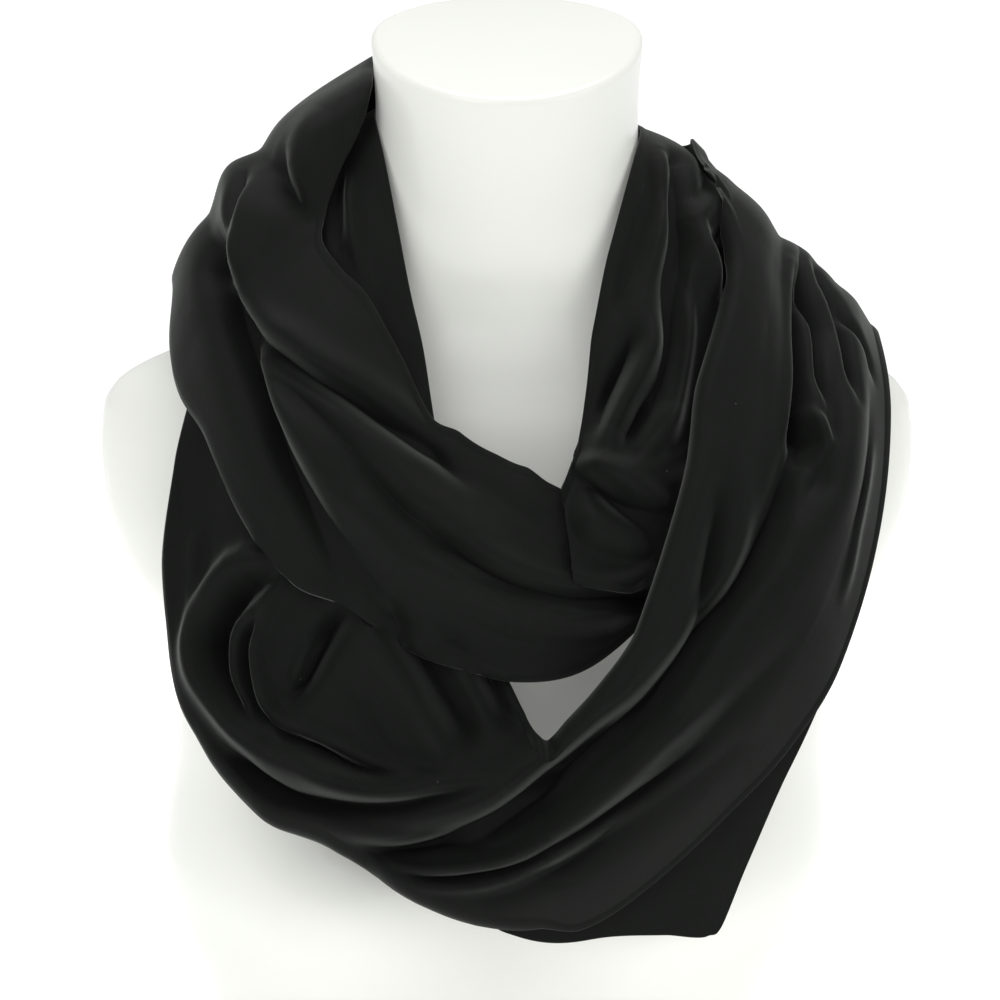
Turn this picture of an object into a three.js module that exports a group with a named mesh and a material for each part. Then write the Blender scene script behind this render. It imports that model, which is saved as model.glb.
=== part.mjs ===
// An infinity scarf wound twice round a headless, armless display form, life size.
// Units are millimetres, +Z is up and the form faces -Y.
// Angles run round the neck in degrees: 90 is the front (-Y), 180 the +X side, 270 the
// back and 360 the -X side. The scarf is one closed strip of jersey, so its angle goes
// on past 360: it starts under the front at 106, and two turns later, at 826, it
// comes back to its own start.
import * as THREE from "three";

// Driving sizes
const CLOTH = 2; // wall of one stretch of jersey
const SEAM = 0.3; // clearance between two neighbouring stretches
const CLEAR = 4; // clearance between one turn of the strip and the turn under it
const LOWEST = 3.5; // nothing lies closer to the drape than this
const ROLL = 8; // radius that a long edge turns under round
const HEM = 3; // least length of cloth past the edge
const HELD = 1.9; // how near the layer that hangs below comes to the strip that holds it
const TURN = 360;
const TWO_TURNS = 720;
const NECK_CUT = 0.33; // the neck's top plane falls this much per millimetre forward
const LEAN = -12; // how far the base lies to the -X side of the neck
const BUST = { x: 78, z: 152, wide: 54, high: 50, deep: 36 };

// The form, a row for each level: half width, and how far it reaches forward and back
const FORM = [
  { z: 0, half: 124, front: 84, back: 76, square: 2.3 },
  { z: 40, half: 132, front: 84, back: 78, square: 2.3 },
  { z: 78, half: 144, front: 86, back: 81, square: 2.3 },
  { z: 112, half: 158, front: 88, back: 86, square: 2.3 },
  { z: 152, half: 167, front: 91, back: 92, square: 2.4 },
  { z: 205, half: 162, front: 90, back: 98, square: 2.4 },
  { z: 250, half: 162, front: 85, back: 101, square: 2.4 },
  { z: 272, half: 172, front: 80, back: 101, square: 2.3 },
  { z: 295, half: 187, front: 75, back: 100, square: 2.2 },
  { z: 325, half: 197, front: 68, back: 97, square: 2.1 },
  { z: 352, half: 200, front: 60, back: 91, square: 2 },
  { z: 374, half: 198, front: 53, back: 84, square: 2 },
  { z: 386, half: 191, front: 48, back: 78, square: 2 },
  { z: 396, half: 175, front: 45, back: 72, square: 2 },
  { z: 406, half: 148, front: 44, back: 66, square: 2 },
  { z: 418, half: 114, front: 45, back: 59, square: 2 },
  { z: 433, half: 87, front: 49, back: 54, square: 2 },
  { z: 453, half: 71, front: 56, back: 49, square: 2 },
  { z: 482, half: 64, front: 62, back: 46, square: 2 },
  { z: 518, half: 63, front: 68, back: 44, square: 2 },
  { z: 552, half: 65, front: 72, back: 44, square: 2 },
];

// The drape, a row for each loop that the cloth can hang in, from the neck (t = 0)
// outward: its reach each way, its height on each side, how late its height falls
// away toward the front, and how square it is in plan
const DRAPE = [
  { t: 0, left: 61.5, right: 60.5, front: 68, back: 49, zLeft: 514, zRight: 504, zFront: 385, zBack: 518, fallLeft: 2.6, fallRight: 2.9, squareLeft: 2, squareRight: 2 },
  { t: 0.25, left: 88, right: 90, front: 94, back: 84, zLeft: 492, zRight: 474, zFront: 340, zBack: 476, fallLeft: 1.8, fallRight: 1.9, squareLeft: 2.4, squareRight: 2.2 },
  { t: 0.5, left: 112, right: 114, front: 114, back: 108, zLeft: 465, zRight: 448, zFront: 283, zBack: 426, fallLeft: 1.45, fallRight: 1.55, squareLeft: 2.7, squareRight: 2.4 },
  { t: 0.75, left: 132, right: 137, front: 127, back: 122, zLeft: 440, zRight: 426, zFront: 220, zBack: 376, fallLeft: 1.35, fallRight: 1.5, squareLeft: 3, squareRight: 2.6 },
  { t: 1, left: 148, right: 162, front: 136, back: 131, zLeft: 420, zRight: 408, zFront: 152, zBack: 326, fallLeft: 1.25, fallRight: 1.5, squareLeft: 3.2, squareRight: 2.7 },
  { t: 1.25, left: 162, right: 178, front: 142, back: 137, zLeft: 410, zRight: 400, zFront: 95, zBack: 286, fallLeft: 1.2, fallRight: 1.5, squareLeft: 3.2, squareRight: 2.7 },
  { t: 1.5, left: 170, right: 188, front: 144, back: 141, zLeft: 403, zRight: 393, zFront: 40, zBack: 246, fallLeft: 1.2, fallRight: 1.5, squareLeft: 3.2, squareRight: 2.7 },
];

// The strip's edge nearer the neck: where it lies on the drape, how far it stands off,
// and how many degrees it turns under through
const INNER_EDGE = [
  { a: 106, t: 0.25, h: 8, turn: 60 },
  { a: 112, t: 0.2, h: 6, turn: 40 },
  { a: 118, t: 0.13, h: 5, turn: 25 },
  { a: 124, t: 0.07, h: 4, turn: 20 },
  { a: 136, t: 0.03, h: 4, turn: 20 },
  { a: 166, t: 0.01, h: 4, turn: 20 },
  { a: 188, t: 0, h: 6, turn: 20 },
  { a: 205, t: 0, h: 4, turn: 20 },
  { a: 352, t: 0, h: 4, turn: 20 },
  { a: 383, t: 0.01, h: 4, turn: 20 },
  { a: 399, t: 0.03, h: 4, turn: 20 },
  { a: 411, t: 0.06, h: 4, turn: 20 },
  { a: 417, t: 0.08, h: 4, turn: 20 },
  { a: 425, t: 0.15, h: 4, turn: 20 },
  { a: 433, t: 0.28, h: 4, turn: 20 },
  { a: 442, t: 0.44, h: 4, turn: 20 },
  { a: 450, t: 0.56, h: 8, turn: 35 },
  { a: 456, t: 0.65, h: 13, turn: 60 },
  { a: 459, t: 0.675, h: 16, turn: 75 },
    { a: 463, t: 0.655, h: 19, turn: 90 },
  { a: 470, t: 0.625, h: 24, turn: 115 },
  { a: 476, t: 0.6, h: 27, turn: 120 },
  { a: 480, t: 0.56, h: 28, turn: 120 },
  { a: 486, t: 0.5, h: 29, turn: 120 },
  { a: 492, t: 0.445, h: 30, turn: 120 },
  { a: 501, t: 0.36, h: 29, turn: 120 },
  { a: 509, t: 0.347, h: 27, turn: 110 },
  { a: 516, t: 0.34, h: 25, turn: 100 },
  { a: 521, t: 0.325, h: 23, turn: 95 },
  { a: 527, t: 0.27, h: 20, turn: 85 },
  { a: 534, t: 0.18, h: 17, turn: 75 },
  { a: 545, t: 0.13, h: 13, turn: 60 },
  { a: 556, t: 0.17, h: 12, turn: 60 },
  { a: 570, t: 0.2, h: 12, turn: 60 },
  { a: 612, t: 0.2, h: 12, turn: 60 },
  { a: 640, t: 0.15, h: 14, turn: 60 },
  { a: 670, t: 0.03, h: 20, turn: 60 },
  { a: 700, t: -0.09, h: 27, turn: 60 },
  { a: 718, t: -0.09, h: 22, turn: 60 },
  { a: 730, t: -0.07, h: 20, turn: 50 },
  { a: 734, t: -0.035, h: 18, turn: 45 },
  { a: 737, t: 0.02, h: 15, turn: 40 },
  { a: 740, t: 0.125, h: 15, turn: 35 },
  { a: 743, t: 0.205, h: 15, turn: 30 },
  { a: 747, t: 0.238, h: 15, turn: 30 },
  { a: 754, t: 0.212, h: 15, turn: 30 },
  { a: 763, t: 0.17, h: 15, turn: 30 },
  { a: 774, t: 0.16, h: 14, turn: 30 },
  { a: 784, t: 0.175, h: 13, turn: 30 },
  { a: 793, t: 0.14, h: 12, turn: 30 },
  { a: 804, t: 0.13, h: 11, turn: 30 },
  { a: 816, t: 0.16, h: 10, turn: 30 },
  { a: 823, t: 0.22, h: 8, turn: 25 },
  { a: 835, t: 0.32, h: 5, turn: 20 },
  { a: 848, t: 0.36, h: 4, turn: 20 },
];

// The strip's edge away from the neck
const OUTER_EDGE = [
  { a: 106, t: 0.42, h: 8, turn: 40 },
  { a: 112, t: 0.47, h: 7, turn: 25 },
  { a: 120, t: 0.53, h: 6, turn: 20 },
  { a: 130, t: 0.54, h: 5, turn: 20 },
  { a: 150, t: 0.46, h: 5, turn: 20 },
  { a: 166, t: 0.43, h: 5, turn: 20 },
  { a: 205, t: 0.42, h: 5, turn: 20 },
  { a: 335, t: 0.44, h: 5, turn: 20 },
  { a: 352, t: 0.55, h: 5, turn: 20 },
  { a: 365, t: 0.76, h: 6, turn: 20 },
  { a: 375, t: 0.93, h: 14, turn: 60 },
  { a: 380, t: 1.05, h: 21, turn: 100 },
  { a: 386, t: 1.18, h: 25, turn: 130 },
  { a: 397, t: 1.235, h: 24, turn: 140 },
  { a: 408, t: 1.15, h: 20, turn: 140 },
  { a: 419, t: 1.03, h: 17, turn: 120 },
  { a: 434, t: 0.995, h: 15, turn: 90 },
  { a: 447, t: 0.985, h: 13, turn: 60 },
  { a: 456, t: 0.99, h: 12, turn: 40 },
  { a: 464, t: 1.03, h: 12, turn: 20 },
  { a: 477, t: 1.07, h: 12, turn: 20 },
  { a: 487, t: 1.12, h: 12, turn: 20 },
  { a: 498, t: 1.21, h: 14, turn: 20 },
  { a: 506, t: 1.26, h: 15, turn: 20 },
  { a: 528, t: 1.26, h: 12, turn: 25 },
  { a: 540, t: 1.22, h: 8, turn: 30 },
  { a: 560, t: 1.12, h: 11, turn: 60 },
  { a: 590, t: 1, h: 13, turn: 90 },
  { a: 640, t: 0.92, h: 13, turn: 90 },
  { a: 690, t: 0.95, h: 16, turn: 100 },
  { a: 715, t: 1, h: 20, turn: 130 },
  { a: 723, t: 1.01, h: 22, turn: 150 },
  { a: 731, t: 0.92, h: 26, turn: 150 },
  { a: 738, t: 0.84, h: 27, turn: 150 },
  { a: 747, t: 0.75, h: 26, turn: 140 },
  { a: 758, t: 0.71, h: 25, turn: 130 },
  { a: 768, t: 0.67, h: 23, turn: 120 },
  { a: 777, t: 0.6, h: 21, turn: 110 },
  { a: 790, t: 0.57, h: 18, turn: 90 },
  { a: 801, t: 0.55, h: 15, turn: 70 },
  { a: 813, t: 0.56, h: 12, turn: 60 },
  { a: 830, t: 0.59, h: 7, turn: 40 },
  { a: 848, t: 0.6, h: 4, turn: 20 },
];

// The strip's crest: how far it stands off, and how far across the strip it runs
const CREST = [
  { a: 106, h: 14, v: 0.5 },
  { a: 113, h: 19, v: 0.5 },
  { a: 124, h: 18, v: 0.5 },
  { a: 150, h: 13, v: 0.5 },
  { a: 186, h: 15, v: 0.42 },
  { a: 210, h: 13, v: 0.45 },
  { a: 270, h: 9, v: 0.5 },
  { a: 352, h: 9, v: 0.5 },
  { a: 383, h: 10, v: 0.6 },
  { a: 399, h: 14, v: 0.78 },
  { a: 410, h: 19, v: 0.84 },
  { a: 425, h: 21, v: 0.8 },
  { a: 440, h: 23, v: 0.7 },
  { a: 450, h: 25, v: 0.56 },
  { a: 458, h: 28, v: 0.44 },
  { a: 470, h: 33, v: 0.34 },
  { a: 490, h: 37, v: 0.35 },
  { a: 510, h: 39, v: 0.4 },
  { a: 530, h: 29, v: 0.45 },
  { a: 560, h: 22, v: 0.5 },
  { a: 640, h: 26, v: 0.5 },
  { a: 700, h: 31, v: 0.5 },
  { a: 722, h: 31, v: 0.5 },
  { a: 734, h: 34, v: 0.5 },
  { a: 760, h: 33, v: 0.55 },
  { a: 775, h: 31, v: 0.55 },
  { a: 790, h: 28, v: 0.5 },
  { a: 810, h: 23, v: 0.5 },
  { a: 826, h: 14, v: 0.5 },
  { a: 848, h: 6, v: 0.5 },
];

// Where one turn of the strip lies on another: over which angles, how many degrees on
// the strip the turn under it is, and over how many degrees that starts and ends
const LAPS = [
  { from: 96, to: 136, under: TWO_TURNS, ease: 6 },
  { from: 459, to: 818, under: -TURN, ease: 10 },
  { from: 459, to: 502, under: TURN, ease: 10 },
];

// The flat layer that hangs below the outer turn at the front, a row for each section
const UNDER_LAYER = [
  { a: 84, tIn: 0.8, tOut: 0.955, h: 5 },
  { a: 88, tIn: 0.8, tOut: 0.99, h: 5 },
  { a: 92, tIn: 0.8, tOut: 1.005, h: 5 },
  { a: 108, tIn: 0.84, tOut: 1.09, h: 5 },
  { a: 118, tIn: 0.88, tOut: 1.225, h: 5 },
  { a: 124.5, tIn: 0.92, tOut: 1.375, h: 5 },
  { a: 126.5, tIn: 0.94, tOut: 1.41, h: 5 },
  { a: 131, tIn: 0.96, tOut: 1.35, h: 5 },
  { a: 138, tIn: 1, tOut: 1.3, h: 5 },
  { a: 146, tIn: 1.02, tOut: 1.3, h: 5 },
  { a: 155, tIn: 1.04, tOut: 1.31, h: 5 },
  { a: 163, tIn: 1.06, tOut: 1.31, h: 5 },
  { a: 172, tIn: 1.08, tOut: 1.27, h: 5 },
];

// Folds, a row for each point of the line that a fold runs along: how high its ridge
// (or how deep its valley, below zero) is there, and how wide to each side
const FOLDS = [
  { fold: "long valley", a: 454, t: 0.79, high: -3, wide: 9 },
  { fold: "long valley", a: 462, t: 0.76, high: -8, wide: 10 },
  { fold: "long valley", a: 479, t: 0.71, high: -12, wide: 12 },
  { fold: "long valley", a: 499, t: 0.7, high: -14, wide: 13 },
  { fold: "long valley", a: 511, t: 0.69, high: -14, wide: 13 },
  { fold: "long valley", a: 520, t: 0.64, high: -13, wide: 13 },
  { fold: "long valley", a: 534, t: 0.56, high: -9, wide: 14 },
  { fold: "long valley", a: 570, t: 0.54, high: -4, wide: 15 },
  { fold: "long valley", a: 640, t: 0.55, high: -7, wide: 15 },
  { fold: "long valley", a: 700, t: 0.62, high: -6, wide: 14 },
  { fold: "long valley", a: 720, t: 0.63, high: -4, wide: 12 },
  { fold: "long valley", a: 738, t: 0.54, high: -13, wide: 10 },
  { fold: "long valley", a: 750, t: 0.51, high: -11, wide: 9 },
  { fold: "long valley", a: 770, t: 0.51, high: -10, wide: 9 },
  { fold: "long valley", a: 785, t: 0.545, high: -8, wide: 9 },
  { fold: "shoulder valley", a: 560, t: 0.26, high: -6, wide: 11 },
  { fold: "shoulder valley", a: 620, t: 0.3, high: -8, wide: 12 },
  { fold: "shoulder valley", a: 690, t: 0.34, high: -5, wide: 12 },
  { fold: "shoulder valley", a: 716, t: 0.36, high: -5, wide: 11 },
  { fold: "shoulder valley", a: 728, t: 0.31, high: -8, wide: 10 },
  { fold: "shoulder valley", a: 736, t: 0.28, high: -10, wide: 9 },
  { fold: "shoulder valley", a: 747, t: 0.22, high: -5, wide: 8 },
  { fold: "shoulder ridge", a: 690, t: 0.46, high: 4, wide: 12 },
  { fold: "shoulder ridge", a: 715, t: 0.46, high: 3, wide: 11 },
  { fold: "shoulder ridge", a: 732, t: 0.46, high: 5, wide: 9 },
  { fold: "shoulder ridge", a: 741, t: 0.48, high: 2, wide: 8 },
  { fold: "cross valley", a: 743, t: 0.5, high: -6, wide: 8 },
  { fold: "cross valley", a: 748, t: 0.48, high: -9, wide: 8 },
  { fold: "cross valley", a: 757, t: 0.4, high: -10, wide: 8 },
  { fold: "cross valley", a: 768, t: 0.32, high: -9, wide: 8 },
  { fold: "cross valley", a: 779, t: 0.265, high: -7, wide: 8 },
  { fold: "cross valley", a: 790, t: 0.235, high: -5, wide: 7 },
  { fold: "cross valley", a: 800, t: 0.235, high: -1, wide: 6 },
  { fold: "chest ridge", a: 752, t: 0.46, high: 3, wide: 9 },
  { fold: "chest ridge", a: 768, t: 0.37, high: 7, wide: 9 },
  { fold: "chest ridge", a: 782, t: 0.33, high: 8, wide: 10 },
  { fold: "chest ridge", a: 798, t: 0.32, high: 8, wide: 11 },
  { fold: "chest ridge", a: 814, t: 0.37, high: 8, wide: 10 },
  { fold: "chest ridge", a: 826, t: 0.44, high: 6, wide: 9 },
  { fold: "chest ridge", a: 839, t: 0.51, high: 3, wide: 8 },
  { fold: "chest valley", a: 752, t: 0.5, high: -5, wide: 8 },
  { fold: "chest valley", a: 765, t: 0.425, high: -8, wide: 8 },
  { fold: "chest valley", a: 777, t: 0.385, high: -8, wide: 8 },
  { fold: "chest valley", a: 790, t: 0.37, high: -8, wide: 8 },
  { fold: "chest valley", a: 806, t: 0.385, high: -8, wide: 8 },
  { fold: "chest valley", a: 817, t: 0.42, high: -8, wide: 8 },
  { fold: "chest valley", a: 828, t: 0.475, high: -7, wide: 7 },
  { fold: "chest valley", a: 840, t: 0.55, high: -4, wide: 7 },
  { fold: "lower ridge", a: 776, t: 0.44, high: 3, wide: 9 },
  { fold: "lower ridge", a: 799, t: 0.42, high: 6, wide: 9 },
  { fold: "lower ridge", a: 817, t: 0.455, high: 6, wide: 9 },
  { fold: "lower ridge", a: 832, t: 0.52, high: 4, wide: 8 },
  { fold: "outer valley", a: 600, t: 0.78, high: -2, wide: 12 },
  { fold: "outer valley", a: 570, t: 0.78, high: -1, wide: 12 },
  { fold: "outer valley", a: 534, t: 0.74, high: -4, wide: 10 },
  { fold: "outer valley", a: 528, t: 0.79, high: -9, wide: 10 },
  { fold: "outer valley", a: 521, t: 0.85, high: -10, wide: 9 },
  { fold: "outer valley", a: 513, t: 0.85, high: -11, wide: 8 },
  { fold: "outer valley", a: 508, t: 0.82, high: -4, wide: 8 },
  { fold: "outer ridge", a: 540, t: 0.86, high: -3, wide: 12 },
  { fold: "outer ridge", a: 526, t: 0.92, high: 4, wide: 11 },
  { fold: "outer ridge", a: 516, t: 0.95, high: 6, wide: 11 },
  { fold: "outer ridge", a: 504, t: 0.9, high: 3, wide: 12 },
  { fold: "front valley one", a: 398, t: 1.18, high: -3, wide: 9 },
  { fold: "front valley one", a: 407, t: 1.07, high: -7, wide: 9 },
  { fold: "front valley one", a: 417, t: 0.97, high: -8, wide: 9 },
  { fold: "front valley one", a: 429, t: 0.88, high: -8, wide: 9 },
  { fold: "front valley one", a: 444, t: 0.8, high: -8, wide: 9 },
  { fold: "front valley one", a: 456, t: 0.74, high: -8, wide: 8 },
  { fold: "front valley one", a: 469, t: 0.7, high: -3, wide: 8 },
  { fold: "front valley two", a: 413, t: 1.05, high: -3, wide: 8 },
  { fold: "front valley two", a: 425, t: 0.97, high: -6, wide: 8 },
  { fold: "front valley two", a: 439, t: 0.88, high: -7, wide: 8 },
  { fold: "front valley two", a: 455, t: 0.83, high: -6, wide: 8 },
  { fold: "front valley two", a: 468, t: 0.81, high: -5, wide: 8 },
  { fold: "front valley two", a: 480, t: 0.83, high: -3, wide: 8 },
  { fold: "front valley three", a: 426, t: 1, high: -2, wide: 7 },
  { fold: "front valley three", a: 437, t: 0.93, high: -5, wide: 7 },
  { fold: "front valley three", a: 453, t: 0.88, high: -5, wide: 7 },
  { fold: "front valley three", a: 468, t: 0.89, high: -5, wide: 8 },
  { fold: "front valley three", a: 480, t: 0.92, high: -4, wide: 8 },
  { fold: "front valley three", a: 490, t: 0.98, high: -2, wide: 8 },
  { fold: "hook ridge", a: 403, t: 0.7, high: 5, wide: 10 },
  { fold: "hook ridge", a: 399, t: 0.79, high: 9, wide: 10 },
  { fold: "hook ridge", a: 397, t: 0.91, high: 11, wide: 10 },
  { fold: "hook ridge", a: 396, t: 1.02, high: 11, wide: 10 },
  { fold: "hook ridge", a: 398, t: 1.06, high: 11, wide: 10 },
  { fold: "hook ridge", a: 403, t: 1.03, high: 11, wide: 9 },
  { fold: "hook ridge", a: 409, t: 0.985, high: 10, wide: 9 },
  { fold: "hook ridge", a: 417, t: 0.915, high: 9, wide: 9 },
  { fold: "hook ridge", a: 425, t: 0.845, high: 8, wide: 9 },
  { fold: "hook ridge", a: 434, t: 0.785, high: 7, wide: 9 },
  { fold: "hook ridge", a: 446, t: 0.73, high: 5, wide: 9 },
  { fold: "hook ridge", a: 458, t: 0.7, high: 3, wide: 9 },
  { fold: "inner hook", a: 400, t: 0.84, high: -6, wide: 8 },
  { fold: "inner hook", a: 399, t: 0.95, high: -9, wide: 8 },
  { fold: "inner hook", a: 402, t: 0.985, high: -9, wide: 8 },
  { fold: "inner hook", a: 408, t: 0.93, high: -8, wide: 7 },
  { fold: "inner hook", a: 417, t: 0.855, high: -7, wide: 7 },
  { fold: "inner hook", a: 428, t: 0.78, high: -5, wide: 7 },
  { fold: "inner hook", a: 438, t: 0.73, high: -3, wide: 7 },
  { fold: "panel fold", a: 416, t: 0.64, high: -4, wide: 8 },
  { fold: "panel fold", a: 413, t: 0.73, high: -7, wide: 8 },
  { fold: "panel fold", a: 410, t: 0.83, high: -5, wide: 8 },
  { fold: "right pleat one", a: 170, t: 0.1, high: -4, wide: 6 },
  { fold: "right pleat one", a: 150, t: 0.11, high: -6, wide: 6 },
  { fold: "right pleat one", a: 138, t: 0.145, high: -6, wide: 6 },
  { fold: "right pleat one", a: 127, t: 0.185, high: -6, wide: 6 },
  { fold: "right pleat one", a: 119, t: 0.21, high: -3, wide: 6 },
  { fold: "right pleat two", a: 190, t: 0.22, high: -4, wide: 7 },
  { fold: "right pleat two", a: 160, t: 0.21, high: -6, wide: 7 },
  { fold: "right pleat two", a: 140, t: 0.26, high: -6, wide: 6 },
  { fold: "right pleat two", a: 124, t: 0.27, high: -5, wide: 6 },
  { fold: "tuck valley", a: 109, t: 0.235, high: -3, wide: 6 },
  { fold: "tuck valley", a: 116, t: 0.32, high: -6, wide: 6 },
  { fold: "tuck valley", a: 121, t: 0.4, high: -6, wide: 6 },
  { fold: "tuck valley", a: 127, t: 0.5, high: -4, wide: 6 },
  { fold: "tuck ridge", a: 112, t: 0.235, high: 3, wide: 5 },
  { fold: "tuck ridge", a: 118, t: 0.29, high: 5, wide: 6 },
  { fold: "tuck ridge", a: 124, t: 0.35, high: 5, wide: 6 },
  { fold: "tuck ridge", a: 134, t: 0.43, high: 4, wide: 6 },
  { fold: "left pleat", a: 352, t: 0.12, high: -4, wide: 7 },
  { fold: "left pleat", a: 384, t: 0.09, high: -5, wide: 6 },
  { fold: "left pleat", a: 404, t: 0.11, high: -5, wide: 6 },
  { fold: "left pleat", a: 418, t: 0.16, high: -3, wide: 6 },
  { fold: "inner back valley", a: 210, t: 0.18, high: -4, wide: 9 },
  { fold: "inner back valley", a: 270, t: 0.2, high: -5, wide: 10 },
  { fold: "inner back valley", a: 335, t: 0.2, high: -4, wide: 9 },
];

const radians = THREE.MathUtils.degToRad;
const clamp = THREE.MathUtils.clamp;
const lerp = THREE.MathUtils.lerp;
const smooth = THREE.MathUtils.smoothstep;

// A column of a table at any place along it: a curve through its rows that never
// passes them, and a straight line beyond its ends
function column(table, key, name, at) {
  const last = table.length - 1;
  let i = 0;
  while (i < last - 1 && at > table[i + 1][key]) i++;
  const rise = (k) => (table[k + 1][name] - table[k][name]) / (table[k + 1][key] - table[k][key]);
  const slope = (k) => {
    if (k === 0) return rise(0);
    if (k === last) return rise(last - 1);
    const [before, after] = [rise(k - 1), rise(k)];
    return before * after > 0 ? 2 * before * after / (before + after) : 0;
  };
  if (at <= table[0][key]) return table[0][name] + (at - table[0][key]) * slope(0);
  if (at >= table[last][key]) return table[last][name] + (at - table[last][key]) * slope(last);
  const [from, to] = [table[i], table[i + 1]];
  const span = to[key] - from[key];
  const u = (at - from[key]) / span;
  const [u2, u3] = [u * u, u * u * u];
  return (2 * u3 - 3 * u2 + 1) * from[name] + (u3 - 2 * u2 + u) * span * slope(i)
    + (3 * u2 - 2 * u3) * to[name] + (u3 - u2) * span * slope(i + 1);
}

// How far a superellipse reaches from its centre in a direction
function reach(c, s, wide, deep, power) {
  return (Math.abs(c / wide) ** power + Math.abs(s / deep) ** power) ** (-1 / power);
}

// A point of the drape at an angle round the neck and a place t across it
function drapePoint(a, t) {
  const [c, s] = [Math.cos(radians(a)), Math.sin(radians(a))];
  const size = (name) => column(DRAPE, "t", name, t);
  const wide = c > 0 ? size("left") : size("right");
  const deep = s > 0 ? size("front") : size("back");
  const toLeft = smooth(c, -0.3, 0.3);
  const r = reach(c, s, wide, deep, lerp(size("squareRight"), size("squareLeft"), toLeft));
  const fallen = Math.abs(s) ** lerp(size("fallRight"), size("fallLeft"), toLeft);
  const sides = lerp(size("zRight"), size("zLeft"), smooth(c, -1, 1));
  const z = lerp(sides, s > 0 ? size("zFront") : size("zBack"), fallen);
  return new THREE.Vector3(-r * c, -r * s, z);
}

// Where the drape lies, its outward normal, and its millimetres per unit of t
function drapeFrame(a, t) {
  const [da, dt] = [1, 0.01];
  const along = drapePoint(a + da, t).sub(drapePoint(a - da, t));
  const across = drapePoint(a, t + dt).sub(drapePoint(a, t - dt));
  return {
    point: drapePoint(a, t),
    normal: along.clone().cross(across).normalize().negate(),
    perT: across.length() / (2 * dt),
  };
}

// The lines that the folds run along, cut into short straight steps on the drape
const STEPS = 3;
const FOLD_LINES = [...new Set(FOLDS.map((row) => row.fold))].map((name) => {
  const rows = FOLDS.filter((row) => row.fold === name).map((row, i) => ({ ...row, i }));
  const points = [];
  for (let k = 0; k <= (rows.length - 1) * STEPS; k++) {
    const at = (size) => column(rows, "i", size, k / STEPS);
    points.push({ a: at("a"), high: at("high"), wide: at("wide"), place: drapePoint(at("a"), at("t")) });
  }
  return points;
});

// How much the folds raise or lower the strip at a place
function relief(a, t) {
  const place = drapePoint(a, t);
  let sum = 0;
  for (const line of FOLD_LINES) {
    let nearest = null;
    for (let k = 0; k < line.length - 1; k++) {
      const [p, q] = [line[k], line[k + 1]];
      if (Math.abs(p.a - a) > 45) continue;
      const step = q.place.clone().sub(p.place);
      const u = clamp(place.clone().sub(p.place).dot(step) / step.lengthSq(), 0, 1);
      const far = p.place.clone().addScaledVector(step, u).distanceTo(place);
      if (!nearest || far < nearest.far) nearest = { far, high: lerp(p.high, q.high, u), wide: lerp(p.wide, q.wide, u) };
    }
    if (nearest) sum += nearest.high * Math.exp(-((nearest.far / nearest.wide) ** 2));
  }
  return sum;
}

// How high the strip stands off the drape, before anything under it lifts it
function standOff(a, t) {
  const [inner, outer] = [column(INNER_EDGE, "a", "t", a), column(OUTER_EDGE, "a", "t", a)];
  const v = clamp((t - inner) / (outer - inner), 0, 1);
  const crest = column(CREST, "a", "v", a);
  const [u, edge] = v < crest ? [v / crest, INNER_EDGE] : [(1 - v) / (1 - crest), OUTER_EDGE];
  const low = column(edge, "a", "h", a);
  const rise = (column(CREST, "a", "h", a) - low) * Math.sin(Math.PI / 2 * u);
  return low + rise + relief(a, t) * smooth(u, -0.3, 0.35);
}

const softMax = (p, q, k) => {
  const h = clamp(0.5 + (p - q) / (2 * k), 0, 1);
  return lerp(q, p, h) + k * h * (1 - h);
};
const height = (a, t) => softMax(softMax(standOff(a, t), underneath(a, t), 3), LOWEST, 2);

// The room that one layer takes up where it lies, easing to nothing past its edges
function lap(t, inner, outer, top) {
  const near = smooth(t, inner - 0.12, inner - 0.03) * (1 - smooth(t, outer + 0.03, outer + 0.12));
  return near > 0 ? near * (top(clamp(t, inner, outer)) + CLOTH + CLEAR) : 0;
}

// The top of whatever lies under the strip at a place, or 0 for nothing
function underneath(a, t) {
  let top = 0;
  for (const { from, to, under, ease } of LAPS) {
    const here = smooth(a, from, from + ease) * (1 - smooth(a, to - ease, to));
    const b = clamp(a + under, INNER_EDGE[0].a, INNER_EDGE.at(-1).a);
    if (here === 0) continue;
    const [inner, outer] = [column(INNER_EDGE, "a", "t", b), column(OUTER_EDGE, "a", "t", b)];
    top = Math.max(top, here * lap(t, inner, outer, (at) => height(b, at)));
  }
  const b = a - TURN;
  const here = smooth(b, 74, 84) * (1 - smooth(b, 172, 186));
  if (here > 0) {
    const [inner, outer] = [column(UNDER_LAYER, "a", "tIn", b), column(UNDER_LAYER, "a", "tOut", b)];
    top = Math.max(top, here * lap(t, inner, outer, () => column(UNDER_LAYER, "a", "h", b)));
  }
  return top;
}

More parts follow.
